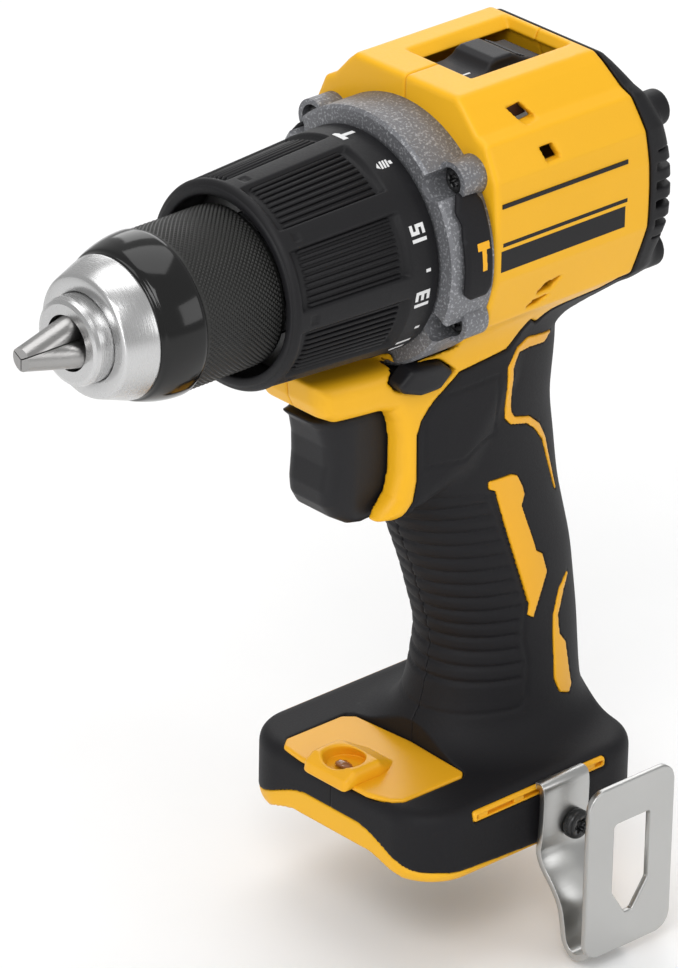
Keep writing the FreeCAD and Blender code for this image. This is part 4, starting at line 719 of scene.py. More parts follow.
def build_collar_print(tall):
    """Odd numbers and ticks round the rear of the collar, then a drill and a hammer sign."""
    things = []
    wide, stroke, gap = tall * 0.58, tall * 0.2, tall * 0.2
    numbers = ["15", "13", "11", "9", "7", "5", "3", "1"]
    for place, text in enumerate(numbers):
        middle = math.radians(22.4 - NUMBER_STEP * place)
        run = len(text) * wide + (len(text) - 1) * gap
        for i, symbol in enumerate(text):
            offset = -run / 2 + i * (wide + gap)
            shapes = [[(u, v + offset) for u, v in s] for s in digit(symbol, tall, wide, stroke)]
            things += wrapped("collar number", shapes, 84.9, middle)
        if place < 7:
            tick = [[(3.0, -0.4), (tall, -0.4), (tall, 0.4), (3.0, 0.4)]]
            things += wrapped("collar tick", tick, 84.9, math.radians(4.6 - NUMBER_STEP * place))
    spiral = [[(0.0, -0.3), (0.9, -0.9), (0.9, 0.9)]]
    spiral += [[(u, -1.1), (u + 0.55, -1.1), (u + 1.0, 1.1), (u + 0.45, 1.1)]
               for u in (1.2, 2.1, 3.0)]
    spiral.append([(4.1, -0.5), (5.0, -0.5), (5.0, 0.5), (4.1, 0.5)])
    things += wrapped("collar drill sign", spiral, 84.7, math.radians(62))
    hammer = [[(0.0, -2.0), (1.5, -2.0), (1.5, 1.4), (0.9, 2.2), (0.0, 2.2)],
              [(1.5, -0.6), (5.0, -0.6), (5.0, 0.6), (1.5, 0.6)]]
    things += wrapped("collar hammer sign", hammer, 84.7, math.radians(90))
    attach(joined("collar print", things), "collar")


# ------------------------------------------------------------------ gear case
CASE_SCREWS = [(-24.4, 21.0), (24.4, 21.0), (-26.3, -15.0), (26.3, -15.0)]
PAD = [(97.6, 19.4), (103.2, 18.6), (104.5, 16.5), (104.5, -4.6), (103.2, -6.9), (98.0, -6.9),
       (95.6, -4.8), (95.6, 9.0), (96.3, 12.5), (95.3, 15.5)]


def build_gear_case():
    """The cast case, its four recessed screws and the two rubber side pads."""
    seats = [(99.65, y, z) for y, z in CASE_SCREWS]
    screws = screws_on("gear case screws", seats, (0, -math.pi / 2, 0), "black screw", 3.3, 2.6)
    shift = Matrix.Translation((0.0026, 0, 0))
    screws.data.transform(shift)
    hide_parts("gear_case_screws")
    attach(screws, "drill")

    def pad(x, y, z):
        reach = np.sqrt(y * y + z * z)
        plan = rounded(x, z, PAD, 1.2)
        body = blend_max(plan, np.maximum(reach - 34.3, 32.66 - reach), 1.3)
        return np.maximum(body, y + 15)

    def sign(x, y, z):
        reach = np.sqrt(y * y + z * z)
        head = outline(x, z, [(99.4, 7.6), (103.2, 7.6), (103.2, 5.7), (99.4, 5.7)])
        handle = outline(x, z, [(100.7, 6.0), (102.1, 6.0), (102.1, 0.4), (100.7, 0.4)])
        return np.maximum(np.maximum(np.minimum(head, handle), reach - 34.42), 33.9 - reach)

    for mirrored, node in ((False, "side_bumper_left"), (True, "side_bumper_right")):
        cushion = skin(node + " pad", pad, (94, -35, -9), (106, -14, 21), 0.45,
                       FINISH["soft grip"], mirrored)
        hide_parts(node)
        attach(cushion, "drill")
        mark = skin(node + " sign", sign, (99, -35, -0.2), (103.7, -32, 8.4), 0.22,
                    FINISH["panel plastic"], mirrored)
        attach(mark, "drill")


# ------------------------------------------------------------------ moulded halves
SECTION = [(-25, 38.4), (17.8, 38.4), (20.3, 36.2), (25.2, 30.8), (28.6, 29.0), (32.4, 20.5),
           (33.0, 12.0), (33.0, -5.0), (29.5, -18.0), (14.0, -31.0), (-25, -31.0)]
GUARD = [(69.0, -29.4), (69.6, -35.0), (71.4, -38.6), (75.0, -40.5), (87.2, -40.5),
         (90.4, -41.3), (92.2, -44.6), (93.3, -49.8), (93.2, -58.5), (91.8, -64.1),
         (88.6, -67.6), (87.2, -70.6), (94.0, -71.6), (100.5, -69.0), (112.0, -60.0),
         (124.0, -40.0),
         (124.0, -22.0), (93.0, -22.0), (92.0, -29.4)]
GUARD_WIDTH = ([69, 73, 80, 92, 106, 124], [11.0, 12.6, 14.2, 16.2, 18.0, 19.0])
GRIP_LEVELS = np.array([
    (-148.6, 137.5, 29.1, 22.6), (-135, 141.0, 24.2, 19.0), (-118, 141.6, 22.2, 17.8),
    (-98, 137.0, 23.9, 18.2), (-79, 130.6, 25.2, 18.2), (-67, 124.6, 30.0, 18.4),
    (-55, 122.6, 30.0, 18.6), (-40, 123.0, 30.8, 19.2), (-18, 122.0, 30.6, 20.6)])
HOUSING_WALL, GRIP_WALL = 2.6, 2.8
SHELL_PITCH = 0.62
FOOT_MIDDLE, FOOT_HALF_LENGTH, FOOT_HALF_WIDTH, FOOT_CORNER = 125.0, 38.5, 35.4, 14
REAR_MIDDLE, REAR_RADIUS = (44, 2), 114
LEVELS = np.arange(-160.0, -5.0, 1.0)
SMOOTHING = np.hanning(17) / np.hanning(17).sum()
GRIP_CURVES = [np.convolve(np.pad(np.interp(LEVELS, GRIP_LEVELS[:, 0], GRIP_LEVELS[:, i]), 8,
                                  mode="edge"), SMOOTHING, "valid") for i in (1, 2, 3)]
BLACK = [(96.6, -66.4), (97.6, -61.0), (97.4, -48.6), (98.4, -45.0), (101.6, -40.6),
         (108.7, -34.1), (114.0, -33.0),
         (122.5, -31.6), (129.1, -25.2), (132.4, -27.4), (136.0, -24.8), (149.6, -22.2),
         (151.6, -18.6), (170.0, -17.5), (175.0, -180.0), (60.0, -180.0), (60.0, -76.0),
         (86.0, -76.0), (91.0, -71.8), (94.4, -69.6)]
UPPER_INLAY = [(142.5, -34.4), (130.6, -31.3), (126.6, -32.5), (123.3, -36.9), (124.6, -51.8),
               (126.8, -54.1), (133.2, -56.2), (137.1, -59.3), (141.0, -64.0), (147.0, -80.0),
               (147.6, -80.0), (142.4, -63.6), (139.2, -58.7), (134.4, -54.8), (128.2, -52.6),
               (126.5, -50.4), (125.4, -37.8), (127.4, -34.2), (132.1, -34.6), (139.3, -36.2)]
BADGE = [(120.3, -68.0), (127.8, -68.3), (129.8, -69.2), (131.9, -72.8), (132.7, -75.4),
         (131.6, -78.0), (136.6, -90.3), (137.3, -92.5), (139.6, -94.1), (141.5, -99.7),
         (138.2, -108.6), (137.3, -111.3), (135.6, -110.2), (135.9, -107.1), (122.7, -71.3),
         (120.6, -70.2)]
LOWER_INLAY = [(151.6, -104.5), (148.9, -108.1), (146.5, -113.9), (147.2, -119.4),
               (149.9, -122.7), (152.3, -135.6), (150.6, -137.2), (146.8, -135.4),
               (145.0, -131.2), (144.7, -117.5), (144.7, -113.0), (147.0, -106.7),
               (151.2, -104.0)]
RIB_PANEL = [(96.0, -68.6), (110.0, -70.4), (121.0, -72.2), (124.5, -79.0), (135.0, -106.0),
             (134.8, -117.0), (136.2, -123.0), (135.4, -133.0), (133.0, -135.4),
             (105.0, -136.6), (96.0, -120.0), (88.0, -80.0)]
HALF_SCREWS = [(83.0, -35.5), (145.0, -38.0), (145.6, -79.0), (125.0, -98.0),
               (155.0, -133.0), (101.5, -152.4)]
VENTS = [[(118.4, 33.6), (123.0, 34.1), (125.6, 30.4), (121.2, 29.9)],
         [(122.0, 25.2), (126.6, 25.2), (128.0, 21.4), (123.4, 21.2)],
         [(121.8, -13.4), (124.4, -10.8), (130.2, -10.0), (127.2, -13.0)],
         [(119.0, -16.6), (121.8, -14.9), (127.2, -14.4), (123.4, -16.4)]]


def rear_round(x, z):
    """Distance to the upright cylinder that the halves' rear end lies on."""
    return np.sqrt((x - REAR_MIDDLE[0]) ** 2 + (z - REAR_MIDDLE[1]) ** 2) - REAR_RADIUS


def barrel(x, y, z):
    """The motor housing's outside."""
    ends = np.maximum(105.98 - x, rear_round(x, z))
    return blend_max(rounded(np.abs(y), z, SECTION, 1.6), ends, 1.6)


def guard(x, y, z):
    """The web over and behind the trigger."""
    half = np.interp(x, *GUARD_WIDTH)
    return blend_max(rounded(x, z, GUARD, 0.8), np.abs(y) - half, 4.5)


def grip(x, y, z):
    """The handle, an ellipse at every height."""
    centre, deep, wide = (np.interp(z, LEVELS, c) for c in GRIP_CURVES)
    u, v = (x - centre) / deep, y / wide
    reach = np.sqrt(u * u + v * v) + 1e-6
    slope = np.sqrt((u / deep) ** 2 + (v / wide) ** 2) + 1e-6
    return np.maximum(reach * (reach - 1) / slope, np.maximum(z + 14, -156 - z))


def foot(x, y, z):
    """The broad foot over the battery bay."""
    plan_x = np.abs(x - FOOT_MIDDLE) - FOOT_HALF_LENGTH + FOOT_CORNER
    plan_y = np.abs(y) - FOOT_HALF_WIDTH + FOOT_CORNER
    plan = np.sqrt(np.maximum(plan_x, 0) ** 2 + np.maximum(plan_y, 0) ** 2)
    plan = plan + np.minimum(np.maximum(plan_x, plan_y), 0) - FOOT_CORNER
    return blend_max(plan, np.abs(z + 155.85) - 9.85, 4.2)


def hull(x, y, z):
    """The whole moulded body, filleted together."""
    top = blend_min(barrel(x, y, z), guard(x, y, z), 6)
    low = blend_min(grip(x, y, z), foot(x, y, z), 9)
    whole = blend_min(top, low, 6)
    ring = np.sqrt(y * y + z * z)
    cut = np.where(x < 105.9, np.where(x < 92.5, 29.2, 32.98) - ring, -50)
    return np.maximum(whole, cut)


def bay(x, y, z):
    """The battery bay with its two rail grooves."""
    mouth = block(x, y, z, (60, -24, -190), (151, 24, -157.3), 0.6)
    groove = block(x, y, z, (60, -28, -160.5), (151, 28, -157.3), 0.4)
    return np.minimum(mouth, groove)


def trigger_room(x, y, z):
    """Clearance for the trigger over its stroke."""
    side = outline(x, z, [(60, -40.9), (106.4, -40.9), (106.4, -69.5), (97.5, -72.9),
                          (60, -82.0)])
    return np.maximum(side, np.abs(y) - 10.45)


BUTTON = [(88.7, -32.2), (92.6, -28.8), (102.3, -29.4), (106.9, -33.2), (102.0, -36.5),
          (95.6, -36.4), (90.6, -34.6)]


def window(x, y, z):
    """The selector's window with bevelled sides."""
    rise = np.clip(z - 34.2, 0, 5)
    along = np.maximum(120.3 - rise * 0.8 - x, x - 148.2 - rise * 0.45)
    return np.maximum(np.maximum(along, np.abs(y) - 7.3 - rise * 1.05), 30 - z)


def yellow_half(x, y, z):
    """One half of the moulded body, without the soft grip's share."""
    solid = hull(x, y, z)
    half = blend_max(solid, 0.12 - outline(x, z, BLACK), 0.7)
    half = np.maximum(half, -(solid + HOUSING_WALL))
    half = np.maximum(half, -window(x, y, z))
    half = np.maximum(half, -trigger_room(x, y, z))
    hole = np.maximum(outline(x, z, BUTTON) - 0.4, y + 8)
    half = np.maximum(half, -hole)
    for vent in VENTS:
        half = np.maximum(half, -np.maximum(outline(x, z, vent), y + 14))
    return blend_max(half, y + 0.07, 0.25)


def grip_relief(x, y, z):
    """Depth of the grip's grooves: the rib panel, its border and a thumb panel."""
    sizes = bpy.context.scene.drill_grip
    pitch, deep = sizes.rib_pitch / MM, sizes.rib_depth / MM
    phase = (z + 74.2) / pitch
    groove = np.exp(-((phase - np.round(phase)) * pitch / 0.62) ** 2)
    edge = outline(x, z, RIB_PANEL)
    ribs = deep * groove * step(0.8, 2.4, -edge) * step(-131.0, -129.0, z)
    border = 0.35 * np.exp(-(edge / 0.55) ** 2)
    thumb = outline(x, z, [(99.0, -40.0), (99.4, -57.6), (111.0, -58.6), (115.5, -55.8),
                           (121.2, -54.6), (120.3, -38.0)])
    return ribs + border + 0.3 * np.exp(-(thumb / 0.5) ** 2)


def rim_line(x, y):
    """Height of the line between the black foot and its yellow rim."""
    arch = -155.0 - 6.8 * step(9, 31, np.abs(y))
    side = -161.8 - 0.06 * np.clip(x - 90, 0, 36)
    return np.where(x < 96, arch + (side - arch) * step(90, 96, x), side)


def black_half(x, y, z):
    """One half of the soft grip and the foot."""
    solid = hull(x, y, z)
    half = blend_max(solid - 0.18 + grip_relief(x, y, z), outline(x, z, BLACK) + 0.12, 0.8)
    heel = step(106, 109, x) * step(-137, -140, z) * (1 - step(118, 122, x))
    half = np.maximum(half, -(solid + GRIP_WALL + 6 * heel))
    half = np.maximum(half, rim_line(x, y) + 0.1 - z)
    half = np.maximum(half, -np.maximum(bay(x, y, z), 90.4 - x))
    slot = block(x, y, z, (101.7, -40, -150.2), (147.5, -33.6, -147.0), 1.2)
    half = np.maximum(half, -slot)
    panel = np.maximum(outline(x, y, PANEL) - 0.12, -147.2 - z)
    panel = np.maximum(panel, z + 140)
    half = np.maximum(half, -panel)
    for inlay in (UPPER_INLAY, BADGE, LOWER_INLAY):
        half = np.maximum(half, -np.maximum(outline(x, z, inlay) - 0.08, y + 5))
    half = np.maximum(half, -trigger_room(x, y, z))
    return blend_max(half, y + 0.05, 0.2)


PANEL = [(86.9, -12.5), (88.9, -19.2), (91.4, -21.4), (110.8, -21.6), (112.6, -20.0),
         (113.6, 0.0), (112.0, 18.8), (109.2, 21.2), (90.6, 21.4), (87.6, 19.0), (86.7, 12.0)]


BORE_DEPTH, SCREW_DEPTH = 1.7, 2.1


def side_reach(x, z):
    """Distance from the middle plane to the hull's side at one point."""
    reach = np.linspace(36, 4, 641)
    inside = hull(np.full_like(reach, x), -reach, np.full_like(reach, z)) < 0
    return float(reach[np.argmax(inside)])


def with_bores(field, grow):
    """The field with the recesses of the half screws."""
    floors = [side_reach(px, pz) - BORE_DEPTH for px, pz in HALF_SCREWS]

    def bored(x, y, z):
        body = field(x, y, z)
        for (px, pz), low in zip(HALF_SCREWS, floors):
            reach = np.sqrt((x - px) ** 2 + (z - pz) ** 2) - grow
            body = np.maximum(body, -np.maximum(reach, y + low))
        return body
    return bored


def build_body():
    """Both yellow halves, the printed stripes and dark slabs of painted shade inside the vents."""
    box_low, box_high = (68, -33.6, -74.4), (158.8, 0.8, 39.2)
    for mirrored, node in ((False, "housing_left"), (True, "housing_right")):
        field = with_bores(yellow_half, 2.9) if mirrored else yellow_half
        half = skin(node + " shell", field, box_low, box_high, SHELL_PITCH, FINISH["body plastic"],
                    mirrored)
        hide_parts(node)
        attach(half, "drill")
        side = 1 if mirrored else -1
        build_stripes(side)
        # Dark red-brown slabs set inside each vent pocket are painted shade, standing in for the
        # shadow in the vents.
        dark = []
        for corners in VENTS:
            middle = np.mean(corners, 0)
            depth = 24.0 if middle[1] > 20 else 27.0
            if middle[1] > 27:
                depth = 20.5
            shape = middle + (np.array(corners) - middle) * 1.25
            corners = [(x, side * y, z) for y in (depth, depth - 1) for x, z in shape]
            dark.append(prism("vent dark", corners, FINISH["deep shadow"], side > 0))
        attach(joined(node + " vent darks", dark), "drill")


def build_stripes(side):
    """Plain printed lines and a plain band on the flat of the side."""
    things = []
    rows = [(107.9, 149.6, 15.1, 14.0), (108.4, 149.8, 4.9, 3.9), (107.9, 149.2, 2.9, -2.6)]
    for x0, x1, top, low in rows:
        points = [(x, side * lift, z) for lift in (32.7, 33.06)
                  for x, z in ((x0, low), (x1, low), (x1, top), (x0, top))]
        things.append(prism("stripe", points, FINISH["dark print"], side < 0))
    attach(joined("side stripes", things), "drill")


def build_grip():
    """The soft grip and foot halves with their yellow inlays."""
    low, high = (84, -36.2, -166.2), (166, 0.8, -15)
    for mirrored, node in ((False, "grip_overmould_left"), (True, "grip_overmould_right")):
        field = with_bores(black_half, 2.9) if mirrored else black_half
        half = skin(node + " skin", field, low, high, SHELL_PITCH, FINISH["soft grip"],
                    mirrored)
        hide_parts(node)
        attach(half, "drill")

        def inlay(x, y, z):
            solid = hull(x, y, z)
            shape = np.minimum(outline(x, z, UPPER_INLAY), outline(x, z, BADGE))
            shape = np.minimum(shape, outline(x, z, LOWER_INLAY))
            body = np.maximum(np.maximum(solid - 0.42, -(solid + 1.2)), shape)
            return np.maximum(body, y + 6)

        mark = skin(node + " inlays", inlay, (118, -21.5, -138.4), (154, -5, -30), 0.42,
                    FINISH["panel plastic"], mirrored)
        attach(mark, "drill")


def build_foot():
    """The yellow rim, the top panel, the lamp hood and the side slots."""
    def rim(x, y, z):
        body = np.maximum(foot(x, y, z) - 0.02, z - rim_line(x, y) + 0.02)
        lip = -161.2 - 4.5 * step(12, 31, np.abs(y))
        room = bay(x, y, z)
        front = np.maximum(room, 90.4 - x)
        mouth = np.maximum(np.maximum(room, x - 90.6), z - lip)
        body = np.maximum(body, -np.minimum(front, mouth))
        wall = np.maximum(foot(x, y, z) + 3.4, -165.7 - z)
        return np.maximum(body, -np.maximum(wall, np.abs(y) - 27.5))

    def floor(x, y, z):
        body = np.maximum(foot(x, y, z) + 0.6, np.abs(z + 158.6) - 1.2)
        return np.maximum(body, -bay(x, y, z))

    yellow = skin("foot rim", rim, (85.6, -36.2, -166.4), (164.4, 36.2, -153.5), SHELL_PITCH,
                  FINISH["body plastic"])
    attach(yellow, "drill")
    rails = skin("bay rails", floor, (88, -36, -160.6), (163, 36, -156.6), 0.8,
                 FINISH["inner nylon"])
    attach(rails, "drill")

    def panel(x, y, z):
        plan = rounded(x, y, PANEL, 1.5)
        return blend_max(plan, np.maximum(z + 145.5, -147.1 - z), 0.7)

    def hood(x, y, z):
        side = rounded(x, z, [(83.6, -146.8), (84.2, -143.6), (87.2, -141.6), (95.6, -141.5),
                              (103.2, -145.6), (103.2, -146.8)], 0.7)
        half = 8.3 - 2.2 * step(95, 103, x)
        body = blend_max(side, np.abs(y) - half, 2.2)
        lean = (x - 90.2) * 0.86 + (z + 141.5) * 0.5
        cup = np.sqrt((lean / 4.6) ** 2 + (y / 5.6) ** 2) - 1
        return blend_max(body, -np.maximum(cup * 4.6, -144.9 - z), 0.8)

    top = skin("lamp panel", panel, (85.8, -22.4, -147.4), (114.6, 22.4, -144.8), 0.4,
               FINISH["panel plastic"])
    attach(top, "drill")
    cover = skin("lamp hood", hood, (82.6, -9.4, -147.4), (104.4, 9.4, -140.6), 0.36,
                 FINISH["panel plastic"])
    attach(cover, "drill")
    lens = turned("lamp lens", [(0.0, 0.0), (0.0, 2.5), (0.7, 2.45), (1.5, 1.6), (1.9, 0.02)],
                  FINISH["lamp lens"], 48)
    spot = Matrix.Translation((0.0906, 0, -0.1449)) @ Matrix.Rotation(math.radians(-60), 4, "Y")
    lens.data.transform(spot)
    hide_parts("work_lamp")
    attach(lens, "drill")

    def slot(x, y, z):
        frame = block(x, y, z, (101.8, -35.7, -150.1), (147.4, -33.4, -147.1), 1.1)
        room = block(x, y, z, (102.9, -40, -149.2), (146.3, -34.3, -148.0), 0.3)
        return np.maximum(frame, -room)

    for mirrored in (False, True):
        bezel = skin("side slot", slot, (101, -36.2, -150.8), (148.2, -32.8, -146.4), 0.3,
                     FINISH["panel plastic"], mirrored)
        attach(bezel, "drill")
        side = 1 if mirrored else -1
        ends = (-35.4, -34.2)
        points = [(103.5 + u, -side * v, -148.6 + w) for u in (0, 3.2) for v in ends
                  for w in (-0.8, 0.8)]
        faces = [(0, 1, 3, 2), (4, 6, 7, 5), (0, 4, 5, 1), (2, 3, 7, 6), (0, 2, 6, 4),
                 (1, 5, 7, 3)]
        if side < 0:
            faces = [f[::-1] for f in faces]
        bridge = piece("slot bridges", points, faces, FINISH["panel plastic"], False)
        run_tree(bridge, row_tree(), count=4, step=(0.0123, 0, 0),
                 finish=FINISH["panel plastic"])
        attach(bridge, "drill")


# ------------------------------------------------------------------ controls
TRIGGER = [(71.9, -41.4), (75.2, -44.6), (76.7, -49.5), (77.0, -55.0), (76.2, -61.5),
           (76.6, -65.5), (79.0, -69.0), (83.0, -71.4), (87.0, -72.3), (92.0, -72.0),
           (96.0, -70.5), (98.0, -66.0), (98.0, -41.4)]


def build_controls():
    """Trigger, direction button and speed selector."""
    def trigger(x, y, z):
        side = rounded(x, z, TRIGGER, 0.35)
        nose = 9.9 - 3.4 * (1 - step(72.5, 84.0, x)) - 0.8 * step(-62, -72, z)
        return blend_max(side, np.abs(y) - nose, 3.0)

    pull = skin("trigger grip", trigger, (71, -10.6, -73), (98.8, 10.6, -40.6), 0.45,
                FINISH["trigger nylon"])
    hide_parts("trigger")
    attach(pull, "trigger")

    def button(x, y, z):
        head = rounded(x, z, BUTTON, 1.0)
        swell = np.abs(y) - 20.2 + 0.06 * (x - 97.5) ** 2 * 0.16
        ends = blend_max(head, swell, 1.6)
        bar = np.maximum(np.abs(x - 97) - 4.5, np.abs(z + 32.8) - 1.6)
        return np.where(np.abs(y) > 14.5, ends, np.maximum(bar, np.abs(y) - 16))

    slide = skin("direction button caps", button, (87.8, -21, -37.2), (107.6, 21, -28), 0.45,
                 FINISH["trigger nylon"])
    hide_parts("direction_button")
    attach(slide, "direction_button")

    def knob(x, y, z):
        body = block(x, y, z, (119.6, -6.7, 31.4), (145.0, 6.7, 35.2), 0.5)
        crest = rounded(x, z, [(125.6, 34.0), (128.2, 37.4), (130.0, 38.2), (135.4, 38.1),
                               (137.6, 37.0), (140.4, 35.4), (142.0, 34.0)], 0.6)
        return blend_min(body, blend_max(crest, np.abs(y) - 6.5, 1.2), 1.6)

    top = skin("selector knob", knob, (119, -7.2, 30.8), (145.6, 7.2, 38.8), 0.4,
               FINISH["trigger nylon"])
    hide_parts("speed_selector")
    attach(top, "selector")
    points = [(137.4, -5.8, 35.0), (138.0, -5.8, 35.0), (137.4, 5.8, 35.0), (138.0, 5.8, 35.0),
              (137.5, -5.6, 37.2), (137.9, -5.6, 37.2), (137.5, 5.6, 37.2), (137.9, 5.6, 37.2)]
    faces = [(0, 2, 3, 1), (4, 5, 7, 6), (0, 1, 5, 4), (2, 6, 7, 3), (0, 4, 6, 2), (1, 3, 7, 5)]
    ridge = piece("selector ribs", points, faces, FINISH["trigger nylon"], False)
    run_tree(ridge, row_tree(), count=4, step=(0.00115, 0, -0.00055),
             finish=FINISH["trigger nylon"])
    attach(ridge, "selector")
    mark = prism("selector mark", [(x, y, z) for z in (35.1, 35.3) for x, y in (
        (120.8, -4.0), (124.0, -4.0), (124.0, -3.4), (120.8, -3.4))], FINISH["white print"])
    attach(mark, "selector")


def build_rear_cover():
    """The vented rear cover, its lugs and their screws."""
    lugs = [(y, z) for y in (-23.5, 23.5) for z in (20.6, -16.8)]

    def cover(x, y, z):
        side = rounded(np.abs(y), z, SECTION, 2.0) - 0.1
        shape = np.maximum(side, 0.1 - rear_round(x, z))
        shape = blend_max(shape, np.sqrt((x - 106.9) ** 2 + (z - 2) ** 2) - 60, 5)
        reach = np.sqrt(y * y + z * z)
        disc = blend_max(reach - 23.8, np.maximum(x - 173.05, 150 - x), 3)
        waist = 1.1 * np.exp(-((x - 167.6) / 0.8) ** 2)
        shape = blend_min(shape, disc + waist, 2.0)
        for ly, lz in lugs:
            lug = np.sqrt((y - ly) ** 2 + (z - lz) ** 2) - 4.7
            shape = blend_min(shape, blend_max(lug, np.maximum(x - 168.7, 158 - x), 1), 2)
        room = np.maximum(reach - 21.0, np.maximum(x - 170.4, 140 - x))
        shape = np.maximum(shape, -room)
        shape = np.maximum(shape, 0.1 - rear_round(x, z))
        for ly, lz in lugs:
            sink = np.sqrt((y - ly) ** 2 + (z - lz) ** 2) - 3.1
            shape = np.maximum(shape, -np.maximum(sink, 166.0 - x))
        lane = (z + 2.5) % 5.0 - 2.5
        slots = np.maximum(np.abs(lane) - 1.1, np.maximum(reach - 18.0, 167 - x))
        slots = np.maximum(slots, 9.2 - reach)
        sides = np.maximum(np.abs(lane) - 1.0, np.abs(x - 163.2) - 3.4)
        sides = np.maximum(sides, np.maximum(27 - np.abs(y), np.abs(z - 2.5) - 12))
        return np.maximum(np.maximum(shape, -slots), -sides)

    shell = skin("rear cover shell", cover, (150, -33.4, -31.4), (173.8, 33.4, 38.8), 0.6,
                 FINISH["collar nylon"])
    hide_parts("rear_cover")
    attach(shell, "drill")
    seats = [(166.1, y, z) for y, z in lugs]
    screws = screws_on("rear cover screws", seats, (0, math.pi / 2, 0), "black screw", 2.8, 2.1)
    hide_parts("rear_cover_screws")
    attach(screws, "drill")


def build_half_screws():
    """The screws that hold the two halves, sunk in the right side."""
    seats = [(x, side_reach(x, z) - SCREW_DEPTH, z) for x, z in HALF_SCREWS]
    screws = screws_on("half screws", seats, (-math.pi / 2, 0, 0), "black screw", 2.6, 2.0)
    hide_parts("housing_screws")
    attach(screws, "drill")


# ------------------------------------------------------------------ belt hook
HOOK_THICKNESS, HOOK_SIDES, PLATE_PLACE = 1.76, (122.7, 138.3), -56.6


def build_hook():
    """The bent steel belt hook and its screw."""
    path = [(-35.75, -146.6), (-37.6, -146.3), (-38.3, -148.4), (-38.2, -155.0),
            (-37.9, -161.5), (-37.2, -165.0), (-39.0, -168.8), (-42.6, -172.4),
            (-45.8, -177.0), (-46.8, -182.0), (-47.6, -186.6), (-50.4, -189.3),
            (-54.0, -188.4), (-56.6, -185.2), (-56.6, -178.0)]
    path = np.array(path)
    for _ in range(2):
        nearer = 0.75 * path[:-1] + 0.25 * path[1:]
        farther = 0.25 * path[:-1] + 0.75 * path[1:]
        inner = np.stack([nearer, farther], 1).reshape(-1, 2)
        path = np.vstack([path[:1], inner, path[-1:]])
    ahead = np.gradient(path, axis=0)
    ahead /= np.linalg.norm(ahead, axis=1, keepdims=True)
    normal = np.stack([-ahead[:, 1], ahead[:, 0]], 1)
    half = HOOK_THICKNESS / 2
    points, faces = [], []
    for (y, z), (ny, nz) in zip(path, normal):
        for x in HOOK_SIDES:
            points.append((x, y + half * ny, z + half * nz))
            points.append((x, y - half * ny, z - half * nz))
    for i in range(len(path) - 1):
        a, b = 4 * i, 4 * i + 4
        faces += [(a, a + 2, b + 2, b), (a + 1, b + 1, b + 3, a + 3), (a, b, b + 1, a + 1),
                  (a + 2, a + 3, b + 3, b + 2)]
    end = 4 * (len(path) - 1)
    faces += [(0, 1, 3, 2), (end, end + 2, end + 3, end + 1)]
    arm = piece("belt hook arm", points, faces, FINISH["hook steel"])
    recalculate(arm)
    soften(arm, 0.35)

    def plate(x, y, z):
        face = rounded(x, z, [(120.5, -187.4), (149.9, -187.4), (149.9, -140.1),
                              (120.5, -140.1)], 5.0)
        hole = rounded(x, z, [(129.3, -151.2), (141.7, -151.2), (141.7, -170.4),
                              (136.6, -177.6), (134.0, -177.6), (129.3, -170.4)], 1.0)
        sheet = np.abs(y - PLATE_PLACE) - 0.9
        return blend_max(np.maximum(face, -hole), sheet, 0.4)

    sheet = skin("belt hook plate", plate, (119.8, -58.2, -188), (150.6, -55, -139.4), 0.4,
                 FINISH["hook steel"])
    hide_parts("belt_hook")
    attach(sheet, "drill")
    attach(arm, "drill")
    screw = screws_on("belt hook screw", [(133.1, -39.1, -159.3)], (math.pi / 2, 0, 0),
                      "black screw", 3.9, 2.8)
    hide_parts("belt_hook_screw")
    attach(screw, "drill")


def recalculate(thing):
    """Turns a piece's faces outwards."""
    shape = bmesh.new()
    shape.from_mesh(thing.data)
    bmesh.ops.recalc_face_normals(shape, faces=shape.faces)
    shape.to_mesh(thing.data)
    shape.free()


def soften(thing, width):
    """A narrow bevel on a piece's sharp edges."""
    bevel = thing.modifiers.new("edge", "BEVEL")
    bevel.width = width * MM
    bevel.segments = 2
    bevel.limit_method = "ANGLE"
    bevel.angle_limit = math.radians(50)


# ------------------------------------------------------------------ remaining pieces
NODE_FINISH = {
    "jaw_1": "ground steel", "jaw_2": "ground steel", "jaw_3": "ground steel",
    "chuck_body": "turned steel", "gear_case": "cast alloy", "motor_coils": "copper wire",
    "controller_board": "board green", "thread_inserts": "brass", "terminal_blades": "brass",
}
STEEL_WORDS = ("gear", "spindle", "carrier", "planet", "ring", "shaft", "bearing", "pinion",
               "ratchet", "plate", "pins", "spring", "nut", "screw", "stator", "core")


def paint_frame():
    """Gives every measured piece that stays visible its own finish."""
    for name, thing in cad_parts.items():
        steel = any(word in name for word in STEEL_WORDS)
        chosen = NODE_FINISH.get(name, "gear steel" if steel else "inner nylon")
        thing.data.materials.clear()
        thing.data.materials.append(FINISH[chosen])


def lamp(name, kind, place, aim, power, size, colour=(1, 1, 1)):
    """One soft lamp aimed at a point."""
    data = bpy.data.lights.new(name, kind)
    data.energy = power * bpy.context.scene.drill_stage.light_power
    data.color = colour
    data.shape = "RECTANGLE"
    data.size, data.size_y = size
    thing = bpy.data.objects.new(name, data)
    thing.location = place
    thing.rotation_euler = (Vector(aim) - Vector(place)).to_track_quat("-Z", "Y").to_euler()
    bpy.context.scene.collection.objects.link(thing)
    return thing


